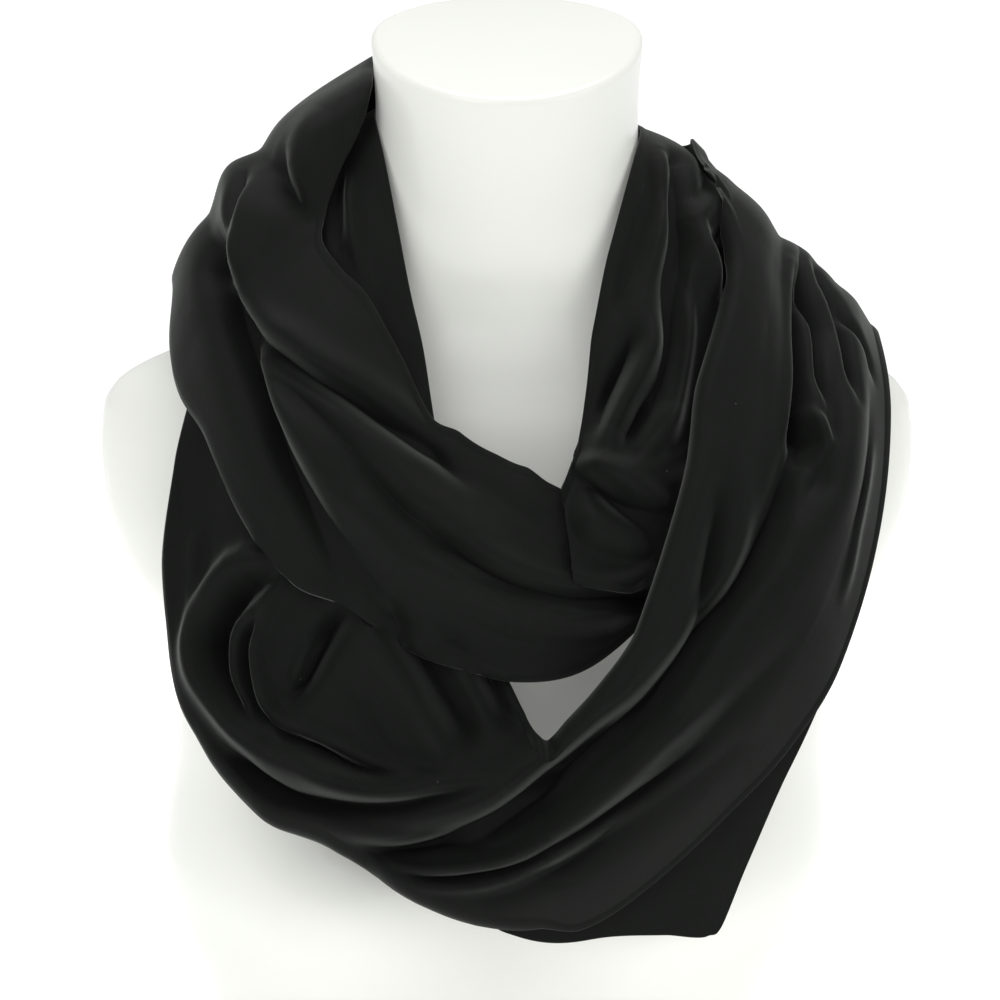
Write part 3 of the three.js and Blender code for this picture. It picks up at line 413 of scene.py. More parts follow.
PICTURE_LINES = {
    "band crease": followed("upper", -12, 4.5, (0.05, 0.15), [
        (232, 296), (240, 320), (252, 350), (264, 387), (274, 412), (283, 442), (296, 467), (316, 507),
        (331, 537), (344, 565), (363, 590), (381, 612), (400, 630),
    ]),
    "shoulder hollow": followed("upper", -12, 6.5, (0.2, 0.2), [
        (228, 228), (222, 250), (219, 270), (225, 292),
    ]),
    "shoulder hollow lip": followed("upper", 4, 4, (0.4, 0.3), [
        (256, 176), (248, 205), (240, 232), (236, 262), (246, 292),
    ]),
    "cross crease": followed("upper", -13, 4.5, (0.3, 0.3), [
        (240, 306), (258, 330), (286, 360), (316, 381), (351, 402), (386, 427), (426, 452), (452, 472),
        (469, 485),
    ]),
    "cross ridge above": followed("upper", 6, 7, (0.3, 0.4), [
        (240, 290), (266, 322), (301, 350), (341, 374), (376, 397), (411, 420), (440, 440),
    ]),
    "cross ridge below": followed("upper", 6, 6, (0.25, 0.4), [
        (268, 352), (302, 380), (351, 412), (391, 440), (431, 470), (472, 496),
    ]),
    "soft valley one": followed("upper", -9, 6, (0.2, 0.2), [
        (262, 366), (290, 392), (324, 420), (349, 446), (370, 474), (395, 499), (425, 522),
    ]),
    "soft ridge one": followed("upper", 3, 7, (0.25, 0.3), [
        (272, 398), (296, 425), (322, 458), (350, 490), (380, 522), (409, 549),
    ]),
    "chest valley": followed("upper", -10.8, 5.5, (0.35, 0.05), [
        (405, 510), (430, 530), (446, 545), (480, 569), (511, 584), (548, 596), (584, 600), (640, 596),
    ]),
    "chest ridge upper": followed("upper", 4, 4.5, (0.4, 0.05), [
        (440, 528), (480, 552), (511, 565), (542, 581), (574, 586), (610, 583), (648, 578),
    ]),
    "chest ridge lower": followed("upper", 4.5, 6, (0.25, 0.05), [
        (409, 549), (450, 573), (480, 584), (522, 597), (558, 609), (594, 612), (640, 608),
    ]),
    "top crease right": followed("upper", -7, 5, (0.35, 0.1), [
        (288, 146), (281, 166), (284, 184), (294, 200), (306, 214),
    ]),
    "top fold": followed("upper", 3, 8, (0.3, 0.4), [
        (322, 110), (312, 140), (307, 170), (309, 195),
    ]),
    "right end soft valley": followed("upper", -4, 9, (0.4, 0.3), [
        (470, 470), (500, 498), (530, 520), (560, 545),
    ]),
    "under shade": followed("upper", -3, 9, (0.3, 0.1), [
        (430, 610), (480, 632), (530, 643), (590, 640), (630, 625),
    ]),
    "long crease": followed("swag and right", -15, 6, (0.08, 0.25), [
        (797, 440), (790, 472), (783, 498), (765, 530), (742, 580), (702, 625), (668, 668), (639, 704),
        (607, 736), (575, 765), (540, 794), (508, 820), (477, 841), (437, 852), (400, 856), (360, 852),
    ]),
    "long crease shoulder": followed("swag and right", 4.8, 6, (0.3, 0.3), [
        (741, 540), (724, 570), (706, 603), (688, 634), (660, 664), (628, 696), (596, 724),
    ]),
    "second long valley": followed("swag and right", -12, 6, (0.3, 0.3), [
        (722, 470), (717, 505), (712, 544), (704, 580), (697, 620), (682, 660), (655, 700), (625, 730),
    ]),
    "inner roll": followed("swag and right", 3.5, 9, (0.3, 0.3), [
        (705, 420), (695, 480), (680, 540), (655, 600), (630, 650), (600, 695), (570, 735),
    ]),
    "shoulder band": followed("right", -13, 6, (0.3, 0.1), [
        (797, 262), (800, 290), (801, 320), (800, 350), (800, 385), (801, 420), (804, 455),
    ]),
    "shoulder line": followed("right", -9, 3, (0.3, 0.3), [
        (800, 247), (806, 273), (812, 304), (816, 334), (818, 357), (822, 388), (826, 415),
    ]),
    "shoulder hump": followed("right", 4, 7, (0.3, 0.4), [
        (822, 330), (830, 370), (836, 410), (838, 450), (830, 490),
    ]),
    "shoulder line two": followed("right", -8, 3, (0.3, 0.3), [
        (812, 262), (826, 285), (837, 315), (845, 346), (852, 376), (858, 400),
    ]),
    "shoulder line three": followed("right", -6, 3, (0.3, 0.4), [
        (834, 290), (849, 319), (864, 350), (873, 380),
    ]),
    "outer line": followed("right", -3.2, 4, (0.3, 0.4), [
        (868, 400), (868, 440), (862, 485), (850, 530),
    ]),
    "centre soft": followed("right", -3, 10, (0.3, 0.4), [
        (765, 300), (768, 360), (765, 420), (755, 480), (740, 530),
    ]),
    "hook hollow": followed("inner", -6, 4, (0.2, 0.3), [
        (727, 215), (718, 228), (714, 240), (721, 256), (726, 275), (720, 300),
    ]),
    "lower soft one": followed("swag and right", -5, 6, (0.35, 0.2), [
        (790, 640), (750, 690), (705, 735), (655, 780), (600, 840), (560, 870), (510, 893), (460, 897),
    ]),
    "lower ridge one": followed("swag and right", 8, 4.5, (0.35, 0.2), [
        (720, 695), (680, 730), (640, 765), (600, 796), (566, 822), (534, 845), (492, 862), (446, 868),
        (400, 868), (357, 860),
    ]),
    "lower soft two": followed("swag and right", -9, 3.5, (0.4, 0.2), [
        (700, 745), (650, 785), (608, 815), (566, 840), (534, 858), (492, 872), (446, 876), (400, 874),
        (360, 868),
    ]),
    "lower ridge two": followed("swag and right", 6, 3.5, (0.4, 0.2), [
        (640, 800), (600, 826), (566, 846), (534, 866), (492, 881), (446, 884), (405, 880), (370, 872),
    ]),
    "swag broad ridge": followed("swag and right", 8, 9, (0.3, 0.3), [
        (225, 757), (255, 785), (289, 806), (335, 822), (381, 828), (427, 822), (474, 806), (505, 789),
        (546, 757), (580, 728), (610, 700),
    ]),
    "swag valley a": followed("swag", -14, 5, (0.2, 0.25), [
        (230, 745), (262, 778), (307, 797), (353, 806), (400, 804), (437, 797), (474, 790), (505, 778),
    ]),
    "swag ridge a": followed("swag", 7, 6.5, (0.1, 0.25), [
        (289, 549), (258, 553), (230, 567), (208, 590), (195, 614), (189, 646), (196, 669), (215, 702),
        (242, 727), (275, 750), (303, 768), (335, 781), (381, 791), (427, 788), (474, 781), (501, 779),
    ]),
    "swag valley b": followed("swag", -12, 4.5, (0.2, 0.25), [
        (268, 574), (242, 592), (226, 614), (219, 645), (222, 673), (235, 700), (254, 722), (281, 743),
        (311, 760), (346, 774), (385, 783), (420, 778),
    ]),
    "swag ridge b": followed("swag", 9, 4.2, (0.15, 0.3), [
        (292, 579), (274, 600), (256, 616), (243, 642), (241, 674), (248, 702), (262, 724), (290, 744),
        (316, 760), (349, 774), (390, 783),
    ]),
    "swag valley c": followed("swag", -8, 2.6, (0.2, 0.3), [
        (262, 606), (252, 635), (250, 664), (254, 694), (264, 714), (285, 731), (316, 748), (350, 764),
        (390, 774),
    ]),
    "swag ridge c": followed("swag", 8, 3, (0.2, 0.3), [
        (270, 606), (261, 635), (259, 665), (262, 698), (270, 711), (289, 721), (321, 739), (349, 753),
        (377, 762), (415, 768),
    ]),
    "panel valley one": followed("swag", -15, 6, (0.1, 0.2), [
        (348, 606), (333, 632), (314, 660), (295, 690), (278, 705),
    ]),
    "panel ridge one": followed("swag", 9, 3.4, (0.2, 0.3), [
        (328, 630), (312, 652), (299, 672), (288, 690),
    ]),
    "panel ridge two": followed("swag", 9, 8, (0.1, 0.3), [
        (362, 614), (376, 638), (396, 668), (414, 700), (432, 730), (450, 757),
    ]),
    "panel valley two": followed("swag", -16, 8, (0.05, 0.3), [
        (396, 618), (412, 645), (430, 676), (448, 706), (464, 732), (476, 752),
    ]),
    "panel ridge three": followed("swag", 6, 6, (0.15, 0.3), [
        (440, 640), (462, 672), (484, 704), (502, 732),
    ]),
    "panel soft": followed("swag", -3.9, 5, (0.3, 0.3), [
        (350, 680), (358, 700), (372, 728), (390, 750),
    ]),
    "left edge ridge": followed("swag", 3, 4, (0.3, 0.3), [
        (206, 520), (200, 550), (197, 580), (190, 612),
    ]),
    "inner valley one": followed("inner", -9, 4, (0.2, 0.4), [
        (650, 160), (650, 190), (645, 216), (638, 239), (630, 258), (624, 280), (617, 315),
    ]),
    "inner ridge one": followed("inner", 6, 4.5, (0.15, 0.3), [
        (660, 152), (662, 175), (662, 197), (656, 224), (652, 254), (643, 285), (636, 312), (630, 340),
        (622, 375),
    ]),
    "inner valley two": followed("inner", -13, 5.5, (0.1, 0.2), [
        (677, 165), (679, 205), (679, 235), (673, 256), (668, 289), (669, 319), (671, 350), (665, 376),
        (653, 398), (645, 420), (634, 447),
    ]),
    "inner ridge two": followed("inner", 6.5, 3.2, (0.2, 0.3), [
        (686, 243), (687, 281), (685, 319), (683, 357), (678, 396), (671, 426), (665, 455),
    ]),
    "inner swirl": followed("inner", 8, 5, (0.25, 0.2), [
        (650, 308), (654, 330), (648, 357), (634, 380), (624, 407), (611, 434), (599, 458),
    ]),
    "inner swirl valley": followed("inner", -9, 4, (0.3, 0.3), [
        (638, 325), (632, 352), (617, 375), (606, 402), (598, 430),
    ]),
    "inner low ridge": followed("inner", 6, 4, (0.3, 0.2), [
        (672, 400), (660, 428), (648, 448), (636, 464),
    ]),
    "tuck crease": followed("inner", -9, 3.5, (0.15, 0.1), [
        (586, 478), (605, 496), (631, 512), (660, 528), (680, 535),
    ]),
    "tuck lip": followed("inner", 9, 6, (0.2, 0.1), [
        (572, 462), (590, 466), (612, 474), (640, 486), (668, 500),
    ]),
    "tuck soft": followed("inner", 8, 9, (0.3, 0.2), [
        (570, 505), (590, 522), (612, 538), (640, 552), (660, 562),
    ]),
    "left pleat one": followed("neck", -8, 3, (0.2, 0.2), [
        (343, 165), (340, 190), (338, 220), (338, 250),
    ]),
    "left pleat two": followed("neck", -8, 3, (0.2, 0.3), [
        (355, 165), (361, 200), (367, 240), (374, 280),
    ]),
    "left pleat three": followed("neck", -7, 3, (0.2, 0.3), [
        (375, 185), (380, 220), (385, 255), (393, 285),
    ]),
    "left pleat ridge": followed("neck", 3.9, 2.5, (0.2, 0.3), [
        (350, 170), (352, 205), (356, 240), (362, 275),
    ]),
    "left dark": followed("neck", -10, 4.5, (0.2, 0.3), [
        (381, 285), (390, 315), (400, 345), (410, 372),
    ]),
    "neck crease": followed("upper", -6, 4, (0.2, 0.1), [
        (352, 132), (340, 152), (330, 172), (323, 192), (315, 214),
    ]),
    "hook tube": followed("inner", 8, 5, (0.2, 0.2), [
        (716, 192), (703, 200), (692, 213), (689, 232), (699, 248), (709, 264), (716, 285), (716, 303),
    ]),
    "hook groove": followed("inner", -6, 4, (0.2, 0.3), [
        (680, 170), (677, 200), (679, 225), (682, 250), (686, 280), (688, 320),
    ]),
    "hole ridge": followed("swag and right", 5, 8, (0.4, 0.3), [
        (470, 790), (505, 776), (540, 752), (580, 722), (620, 680), (650, 640), (672, 590),
    ]),
    "hole valley": followed("swag and right", -13, 5, (0.25, 0.25), [
        (352, 842), (400, 852), (440, 845), (475, 830), (512, 803), (550, 770), (590, 738), (630, 702),
    ]),
    "panel deep": followed("swag", -12, 7, (0.15, 0.3), [
        (470, 660), (486, 682), (500, 706), (516, 730),
    ]),
    "shoulder hollow top": followed("upper", -6, 4, (0.4, 0.1), [
        (246, 170), (236, 194), (229, 222),
    ]),
    "inner swirl hollow": followed("inner", -8, 4, (0.3, 0.3), [
        (652, 392), (640, 410), (628, 430), (622, 452),
    ]),
    "between ridge": followed("swag and right", 5, 6, (0.3, 0.3), [
        (750, 480), (740, 530), (728, 575), (708, 600), (684, 638), (655, 678), (622, 712),
    ]),
    "shoulder band edge": followed("right", 5, 4, (0.3, 0.3), [
        (789, 255), (789, 290), (789, 330), (788, 370), (787, 410), (787, 450),
    ]),
    "shoulder dark oval": followed("right", -10, 5, (0.3, 0.3), [
        (800, 400), (806, 425), (808, 450), (800, 470),
    ]),
    "shoulder oval lip": followed("right", 7, 3.5, (0.2, 0.3), [
        (806, 400), (817, 425), (822, 450), (816, 475),
    ]),
    "outer hem line": followed("right", 3.5, 2.5, (0.3, 0.3), [
        (872, 440), (866, 480), (860, 520), (852, 560), (843, 600),
    ]),
    "band ridge": followed("upper", 5, 6, (0.3, 0.3), [
        (252, 330), (262, 352), (276, 390), (290, 425), (306, 455), (325, 492), (342, 520),
    ]),
}

CLOTH = 1.8
WALL = 2
CLEAR = 4
LOWEST = 3.5
ROLL = 8
HEM = 3
HELD = 1.9
TURN = 360
LAPS = [(96, 136, 2 * TURN, 6), (459, 818, -TURN, 10), (459, 502, TURN, 10)]
print("the strip runs from", INNER_EDGE["a"][0], "to", INNER_EDGE["a"][-1], "degrees")
print(len(FOLDS), "large folds and", len(PICTURE_LINES) + len(FINE_BEHIND), "fine ones")


# %% [markdown]
# ## From tables to a surface
# Each function below takes whole arrays of angles and places, and gives back whole arrays, so a piece of
# cloth with 20,000 points takes no longer to write than one with four.


# %% Places and directions on the drape
def drape_point(a, t):
    """A point of the drape. In plan each loop is a superellipse, (x/wide)^p + (y/deep)^p = 1, with its
    own reach to each side. Its height goes from the side's to the front's or the back's with the sine of
    the angle raised to a power: the larger the power, the later the loop falls away over the
    shoulder."""
    a, t = np.broadcast_arrays(np.asarray(a, float), np.asarray(t, float))
    c, s = np.cos(np.radians(a)), np.sin(np.radians(a))

    def size(name):
        return column(DRAPE, "t", name, t)

    wide = np.where(c > 0, size("left"), size("right"))
    deep = np.where(s > 0, size("front"), size("back"))
    to_left = smooth(c, -0.3, 0.3)
    power = mix(size("squareRight"), size("squareLeft"), to_left)
    r = (np.abs(c / wide) ** power + np.abs(s / deep) ** power) ** (-1 / power)
    fallen = np.abs(s) ** mix(size("fallRight"), size("fallLeft"), to_left)
    sides = mix(size("zRight"), size("zLeft"), smooth(c, -1, 1))
    z = mix(sides, np.where(s > 0, size("zFront"), size("zBack")), fallen)
    return np.stack([-r * c, -r * s, z], -1)


def unit(v):
    return v / np.maximum(np.linalg.norm(v, axis=-1, keepdims=True), 1e-9)


def drape_frame(a, t):
    """The drape's point, its outward normal (the cross product of its two directions) and its
    millimetres per unit of t."""
    along = drape_point(a + 1, t) - drape_point(a - 1, t)
    across = drape_point(a, t + 0.01) - drape_point(a, t - 0.01)
    return drape_point(a, t), -unit(np.cross(along, across)), np.linalg.norm(across, axis=-1) / 0.02


# %% Folds raise or lower the strip near the lines that they run along
def fold_line(rows, steps=4):
    """A fold's rows as a finer line on the drape: points, angles, heights and widths."""
    a, t, high, wide = np.array(rows, float).T
    at = np.linspace(0, len(a) - 1, (len(a) - 1) * steps + 1)
    fine = dict(i=np.arange(len(a), dtype=float), a=a, t=t, high=high, wide=wide)
    angle, place, high, wide = (column(fine, "i", name, at) for name in ("a", "t", "high", "wide"))
    return drape_point(angle, place), angle, high, wide


def raised_by(line, place, a):
    """With r the distance over the width, a ridge is round, high * exp(-r²), and a valley is pinched in
    its middle, high * (exp(-r²) + exp(-2 sqrt(r² + 0.04))) / 2, as cloth is where two soft rolls meet.
    The height and the width are taken at the line's nearest point."""
    points, angle, high, wide = line
    step = points[1:] - points[:-1]
    gap = place[:, None] - points[None, :-1]
    u = np.clip((gap * step).sum(-1) / (step**2).sum(-1), 0, 1)
    far = np.linalg.norm(gap - u[..., None] * step, axis=-1)
    far = np.where(np.abs(angle[None, :-1] - a[:, None]) > 45, 1e6, far)
    k = far.argmin(1)
    rows = np.arange(len(k))
    u = u[rows, k]
    tall, broad = mix(high[k], high[k + 1], u), mix(wide[k], wide[k + 1], u)
    r = far[rows, k] / broad
    ridge, crease = np.exp(-(r**2)), np.exp(-2 * np.sqrt(r**2 + 0.04))
    return tall * np.where(tall > 0, ridge, (ridge + crease) / 2)


FOLD_LINES = [fold_line(rows) for rows in FOLDS.values()]


def relief(a, t):
    """The sum of what all the folds near a place add to its height."""
    place, flat = drape_point(a, t).reshape(-1, 3), np.broadcast_to(a, np.shape(a + t)).ravel()
    total = np.zeros(len(flat))
    for line in FOLD_LINES:
        points, angle, _, wide = line
        room = 3 * wide.max()
        near = (place > points.min(0) - room).all(1) & (place < points.max(0) + room).all(1)
        near &= (flat > angle.min() - 45) & (flat < angle.max() + 45)
        if near.any():
            total[near] += raised_by(line, place[near], flat[near])
    return total.reshape(np.shape(a + t))


# %% How high the strip stands off the drape
def stand_off(a, t):
    """Across the strip, height rises from each edge to the crest as a quarter of a sine wave. The folds
    are added, and fade towards the edges."""
    inner, outer = column(INNER_EDGE, "a", "t", a), column(OUTER_EDGE, "a", "t", a)
    v = np.clip((t - inner) / (outer - inner), 0, 1)
    crest = column(CREST, "a", "v", a)
    inside = v < crest
    u = np.where(inside, v / crest, (1 - v) / (1 - crest))
    low = np.where(inside, column(INNER_EDGE, "a", "h", a), column(OUTER_EDGE, "a", "h", a))
    rise = (column(CREST, "a", "h", a) - low) * np.sin(np.pi / 2 * u)
    return low + rise + relief(a, t) * smooth(u, -0.2, 0.25)


def soft_max(p, q, k):
    """The larger of two heights, with the corner between them rounded over k millimetres."""
    h = np.clip(0.5 + (p - q) / (2 * k), 0, 1)
    return mix(q, p, h) + k * h * (1 - h)


def height(a, t):
    return soft_max(soft_max(stand_off(a, t), underneath(a, t), 3), LOWEST, 2)


def lap(t, inner, outer, top):
    """The room that a layer takes up over its own width, easing to nothing past its edges."""
    near = smooth(t, inner - 0.12, inner - 0.03) * (1 - smooth(t, outer + 0.03, outer + 0.12))
    return near * (top + WALL + CLEAR)


def underneath(a, t):
    """The top of whatever lies under the strip: the turn before it, the turn after it, or the flat
    layer."""
    a, t = np.broadcast_arrays(np.asarray(a, float), np.asarray(t, float))
    top = np.zeros(a.shape)
    first, last = INNER_EDGE["a"][[0, -1]]
    for start, end, under, ease in LAPS:
        here = smooth(a, start, start + ease) * (1 - smooth(a, end - ease, end))
        on = here > 0
        if on.any():
            b = np.clip(a[on] + under, first, last)
            inner, outer = column(INNER_EDGE, "a", "t", b), column(OUTER_EDGE, "a", "t", b)
            layer = height(b, np.clip(t[on], inner, outer))
            top[on] = np.maximum(top[on], here[on] * lap(t[on], inner, outer, layer))
    b = a - TURN
    here = smooth(b, 74, 84) * (1 - smooth(b, 172, 186))
    on = here > 0
    if on.any():
        inner, outer, low = (column(UNDER_LAYER, "a", name, b[on]) for name in ("tIn", "tOut", "h"))
        top[on] = np.maximum(top[on], here[on] * lap(t[on], inner, outer, low))
    return top


# %% One point of the strip, and of the layer that hangs below it
def edge_place(edge, side, a):
    """A long edge's t, drawn in by the reach of the cloth that turns under there: ROLL * sin(turn)."""
    t = column(edge, "a", "t", a)
    turn = np.radians(np.minimum(column(edge, "a", "turn", a), 90))
    return t - side * ROLL * np.sin(turn) / drape_frame(a, t)[2]


def strip_point(a, v):
    """v runs from the inner edge (0) to the outer (1). Past them the cloth rolls under along part of an
    ellipse, shift = ROLL * sin(turn * past) and drop = deep * (1 - cos(turn * past)). It turns as far as
    the edge's table says, and deep is ROLL or what the layer below leaves room for, so that the edge's
    outline stays even."""
    a, v = np.broadcast_arrays(np.asarray(a, float), np.asarray(v, float))
    t = mix(edge_place(INNER_EDGE, -1, a), edge_place(OUTER_EDGE, 1, a), np.clip(v, 0, 1))
    h, shift = height(a, t), np.zeros(a.shape)
    past = np.maximum(np.maximum(v - 1, -v), 0)
    roll = past > 0
    if roll.any():
        b, place, side = a[roll], t[roll], np.where(v[roll] > 1, 1, -1)
        turn = np.where(side > 0, column(OUTER_EDGE, "a", "turn", b), column(INNER_EDGE, "a", "turn", b))
        per_t = drape_frame(b, place)[2]
        floor = np.maximum(underneath(b, place), underneath(b, place + side * ROLL / per_t))
        turn = np.maximum(np.radians(turn), HEM / ROLL)
        room = np.clip(h[roll] - np.maximum(floor, LOWEST - 1.5), 0, None)
        deep = np.minimum(ROLL, room / (1 - np.cos(turn)))
        shift[roll] = side * ROLL * np.sin(turn * past[roll]) / per_t
        h[roll] -= deep * (1 - np.cos(turn * past[roll]))
    point, normal, _ = drape_frame(a, t + shift)
    return point + normal * h[..., None]


def under_point(row, v):
    """The flat layer: row runs along its table, v from its held edge (0) to its hem (1)."""
    rows = dict(UNDER_LAYER, i=np.arange(len(UNDER_LAYER["a"]), dtype=float))
    a, t_in, t_out, low = (column(rows, "i", name, row) for name in ("a", "tIn", "tOut", "h"))
    t = mix(t_in, t_out, v)
    held = height(TURN + a, t) - WALL - HELD
    point, normal, _ = drape_frame(a, t)
    return point + normal * mix(held, low, smooth(v, 0, 0.5))[..., None]


# %% [markdown]
# ## From places in the picture to places on the cloth
# The camera of the photograph is 14 degrees above the level and 1.5 m away. Each stretch, with its large
# folds alone, is seen through it as a fine grid, and a place in the picture belongs to the nearest point
# of the grid that faces the camera. A fine fold with the name of a large one takes its place.

# %% The photograph's camera
ELEVATION = np.radians(14)
DISTANCE = 1500.0
FOCAL_PIXELS = 3150.0
NECK_PIXEL = (507, 500)
AIM = np.array([0.0, -60.0, 340.0])
BACKWARD = np.array([0, -np.cos(ELEVATION), np.sin(ELEVATION)])
UPWARD = np.array([0, np.sin(ELEVATION), np.cos(ELEVATION)])
EYE = AIM + BACKWARD * DISTANCE


def seen_at(points):
    """x = 507 + focal * right / depth and y = 500 - focal * up / depth, in pixels."""
    gap = points - EYE
    depth = -(gap @ BACKWARD)
    across, down = FOCAL_PIXELS * gap[..., 0] / depth, FOCAL_PIXELS * (gap @ UPWARD) / depth
    return np.stack([NECK_PIXEL[0] + across, NECK_PIXEL[1] - down], -1)


# %% Every stretch as a grid of pixels
PARTS = {
    "upper": (690, 848),
    "right": (455, 575),
    "swag": (372, 500),
    "swag and right": (380, 560),
    "inner": (106, 215),
    "neck": (340, 425),
}
GRID_STEP = 0.75
GRID_WIDE = 130
TURNED_AWAY = 0.02
PUT_OFF = 500


def picture_grid(start, end):
    """Angles, places and pixels of a stretch, and the pixels by which what is turned away is put off."""
    a = np.arange(start, end + 0.1, GRID_STEP)
    v = np.linspace(0, 1, GRID_WIDE)
    inner, outer = edge_place(INNER_EDGE, -1, a)[:, None], edge_place(OUTER_EDGE, 1, a)[:, None]
    points = strip_point(a[:, None], v[None, :])
    normal = -unit(np.cross(np.gradient(points, axis=0), np.gradient(points, axis=1)))
    facing = (normal * unit(EYE - points)).sum(-1)
    away = np.where(facing < TURNED_AWAY, PUT_OFF, 0)
    return a, inner + (outer - inner) * v[None, :], seen_at(points), away


# %% Every line becomes rows of a fold
SPACING = 38


def rows_of(line):
    """Rows evenly spaced along the line. Each end rises as a quarter of a sine wave over its share."""
    a, t, pixels, away = grids[line["part"]]
    x, y = line["pixels"].T
    run = np.concatenate([[0], np.cumsum(np.hypot(np.diff(x), np.diff(y)))])
    count = max(4, min(10, round(run[-1] / SPACING) + 1))
    rows = []
    for k, at in enumerate(np.linspace(0, run[-1], count)):
        far = np.hypot(pixels[..., 0] - np.interp(at, run, x), pixels[..., 1] - np.interp(at, run, y))
        i, j = np.unravel_index((far + away).argmin(), far.shape)
        u = k / (count - 1)
        fade = min(1, (u + 0.02) / line["fade"][0], (1.02 - u) / line["fade"][1])
        high = line["high"] * np.sin(np.pi / 2 * max(fade, 0.1))
        rows.append((round(a[i]), round(t[i, j], 3), round(high, 1), line["wide"]))
    return rows


grids = {part: picture_grid(*span) for part, span in PARTS.items()}
FINE = {name: rows_of(line) for name, line in PICTURE_LINES.items()}
FOLD_LINES = [fold_line(rows) for rows in (FOLDS | FINE | FINE_BEHIND).values()]
print(len(FINE), "lines followed, with", sum(len(rows) for rows in FINE.values()), "places")


# %% [markdown]
# ## From a surface to a mesh
# Jersey has a thickness, and an edge that the light catches. A piece is therefore a closed shell: the
# surface moved out by half the cloth, the same moved in, and a rounded rim that joins them.


# %% Where the tables' own origin lies in the model's frame
form_low, form_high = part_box("dress_form")
ORIGIN = np.array([(form_low[0] + form_high[0]) / 2, form_high[1] - FORM["back"].max() * MM, form_low[2]])
print("the tables' own origin in the model's frame, in metres:", ORIGIN.round(4).tolist())


# %% Whole arrays into a mesh
def piece_from(name, points, faces, uv, normals=None):
    """points in millimetres, faces as lists of their numbers, and a uv and a normal for each point."""
    mesh = bpy.data.meshes.new(name)
    mesh.from_pydata(points * MM + ORIGIN, [], faces)
    corner = np.empty(len(mesh.loops), dtype=np.int32)
    mesh.loops.foreach_get("vertex_index", corner)
    mesh.uv_layers.new(name="cloth").data.foreach_set("uv", uv[corner].ravel().astype(np.float32))
    mesh.polygons.foreach_set("use_smooth", np.ones(len(mesh.polygons), bool))
    mesh.update()
    if normals is not None:
        mesh.normals_split_custom_set_from_vertices(normals)
    piece = bpy.data.objects.new(name, mesh)
    bpy.context.scene.collection.objects.link(piece)
    mesh.calc_loop_triangles()
    print(name, "has", len(mesh.loop_triangles), "triangles")
    return piece


# %% A closed shell round a grid of points
RIM = 3


def shell(name, grid, uv, thick):
    """Each section of the shell is a ring: along the outer face, round a half circle at the edge, back
    along the inner face, and round the other edge. The grid has one ghost row before its first and one
    after its last, which only lend their places to the normals, so that two pieces that meet are shaded
    as one."""
    along = unit(grid[2:] - grid[:-2])
    grid = grid[1:-1]
    across = unit(np.gradient(grid, axis=1))
    normal = -unit(np.cross(along, across))
    half = thick[..., None] / 2
    bend = np.linspace(0, np.pi, RIM + 2)[1:-1]
    points, lean, place = [grid + normal * half], [normal], [uv]
    for edge, way, turns in ((-1, 1, bend), (0, -1, bend[::-1])):
        for turn in turns:
            out = np.cos(turn) * normal[:, edge] + way * np.sin(turn) * across[:, edge]
            points.append((grid[:, edge] + out * half[:, edge])[:, None])
            lean.append(out[:, None])
            place.append(uv[:, edge][:, None])
        if edge == -1:
            points.append((grid - normal * half)[:, ::-1])
            lean.append(-normal[:, ::-1])
            place.append(uv[:, ::-1])
    points, lean, place = (np.concatenate(part, 1) for part in (points, lean, place))
    count, wide = grid.shape[:2]
    spot = np.arange(points.shape[0] * points.shape[1]).reshape(points.shape[:2])
    after = np.roll(spot, -1, axis=1)
    faces = np.stack([spot[:-1], after[:-1], after[1:], spot[1:]], -1).reshape(-1, 4).tolist()
    for row, first in ((spot[0], True), (spot[-1], False)):
        top, under = row[:wide], row[wide + RIM : 2 * wide + RIM][::-1]
        closing = np.stack([top[:-1], under[:-1], under[1:], top[1:]], -1)
        rims = [row[wide - 1 : wide + RIM + 1], np.append(row[-RIM - 1 :], row[0])]
        faces += (closing if first else closing[:, ::-1]).tolist()
        faces += [(rim[::-1] if first else rim).tolist() for rim in rims]
    return piece_from(name, points.reshape(-1, 3), faces, place.reshape(-1, 2), lean.reshape(-1, 3))


# %% [markdown]
# ## The scarf, stretch by stretch
# The real scarf is one loop, but the model keeps each stretch that shows as its own part. They are cut
# from the same surface at the same angles, so the knit and the light run over the joins unbroken.

# %% The steps across the strip, finer where the edges turn under
ROLL_STEPS = 5
BODY_STEPS = 128
ACROSS = np.concatenate(
    [
        np.linspace(-1, 0, ROLL_STEPS, endpoint=False),
        np.linspace(0, 1, BODY_STEPS, endpoint=False),
        np.linspace(1, 2, ROLL_STEPS + 1),
    ]
)


# %% One stretch of the strip
def length_along(a):
    """Millimetres along the drape under the middle of the strip, from its start to an angle."""
    at = np.linspace(INNER_EDGE["a"][0] - 10, INNER_EDGE["a"][-1] + 10, 1500)
    middle = (column(INNER_EDGE, "a", "t", at) + column(OUTER_EDGE, "a", "t", at)) / 2
    steps = np.linalg.norm(np.diff(drape_point(at, middle), axis=0), axis=1)
    return np.interp(a, at, np.concatenate([[0], np.cumsum(steps)]))


def cloth_uv(grid, start):
    """u is the length along the strip, v the length across it from its middle line, in metres."""
    across = np.linalg.norm(np.diff(grid, axis=1), axis=-1).cumsum(1)
    across = np.concatenate([np.zeros((len(grid), 1)), across], 1)
    v = across - across[:, grid.shape[1] // 2, None]
    return np.stack([np.broadcast_to(start[:, None], v.shape), v], -1) * MM


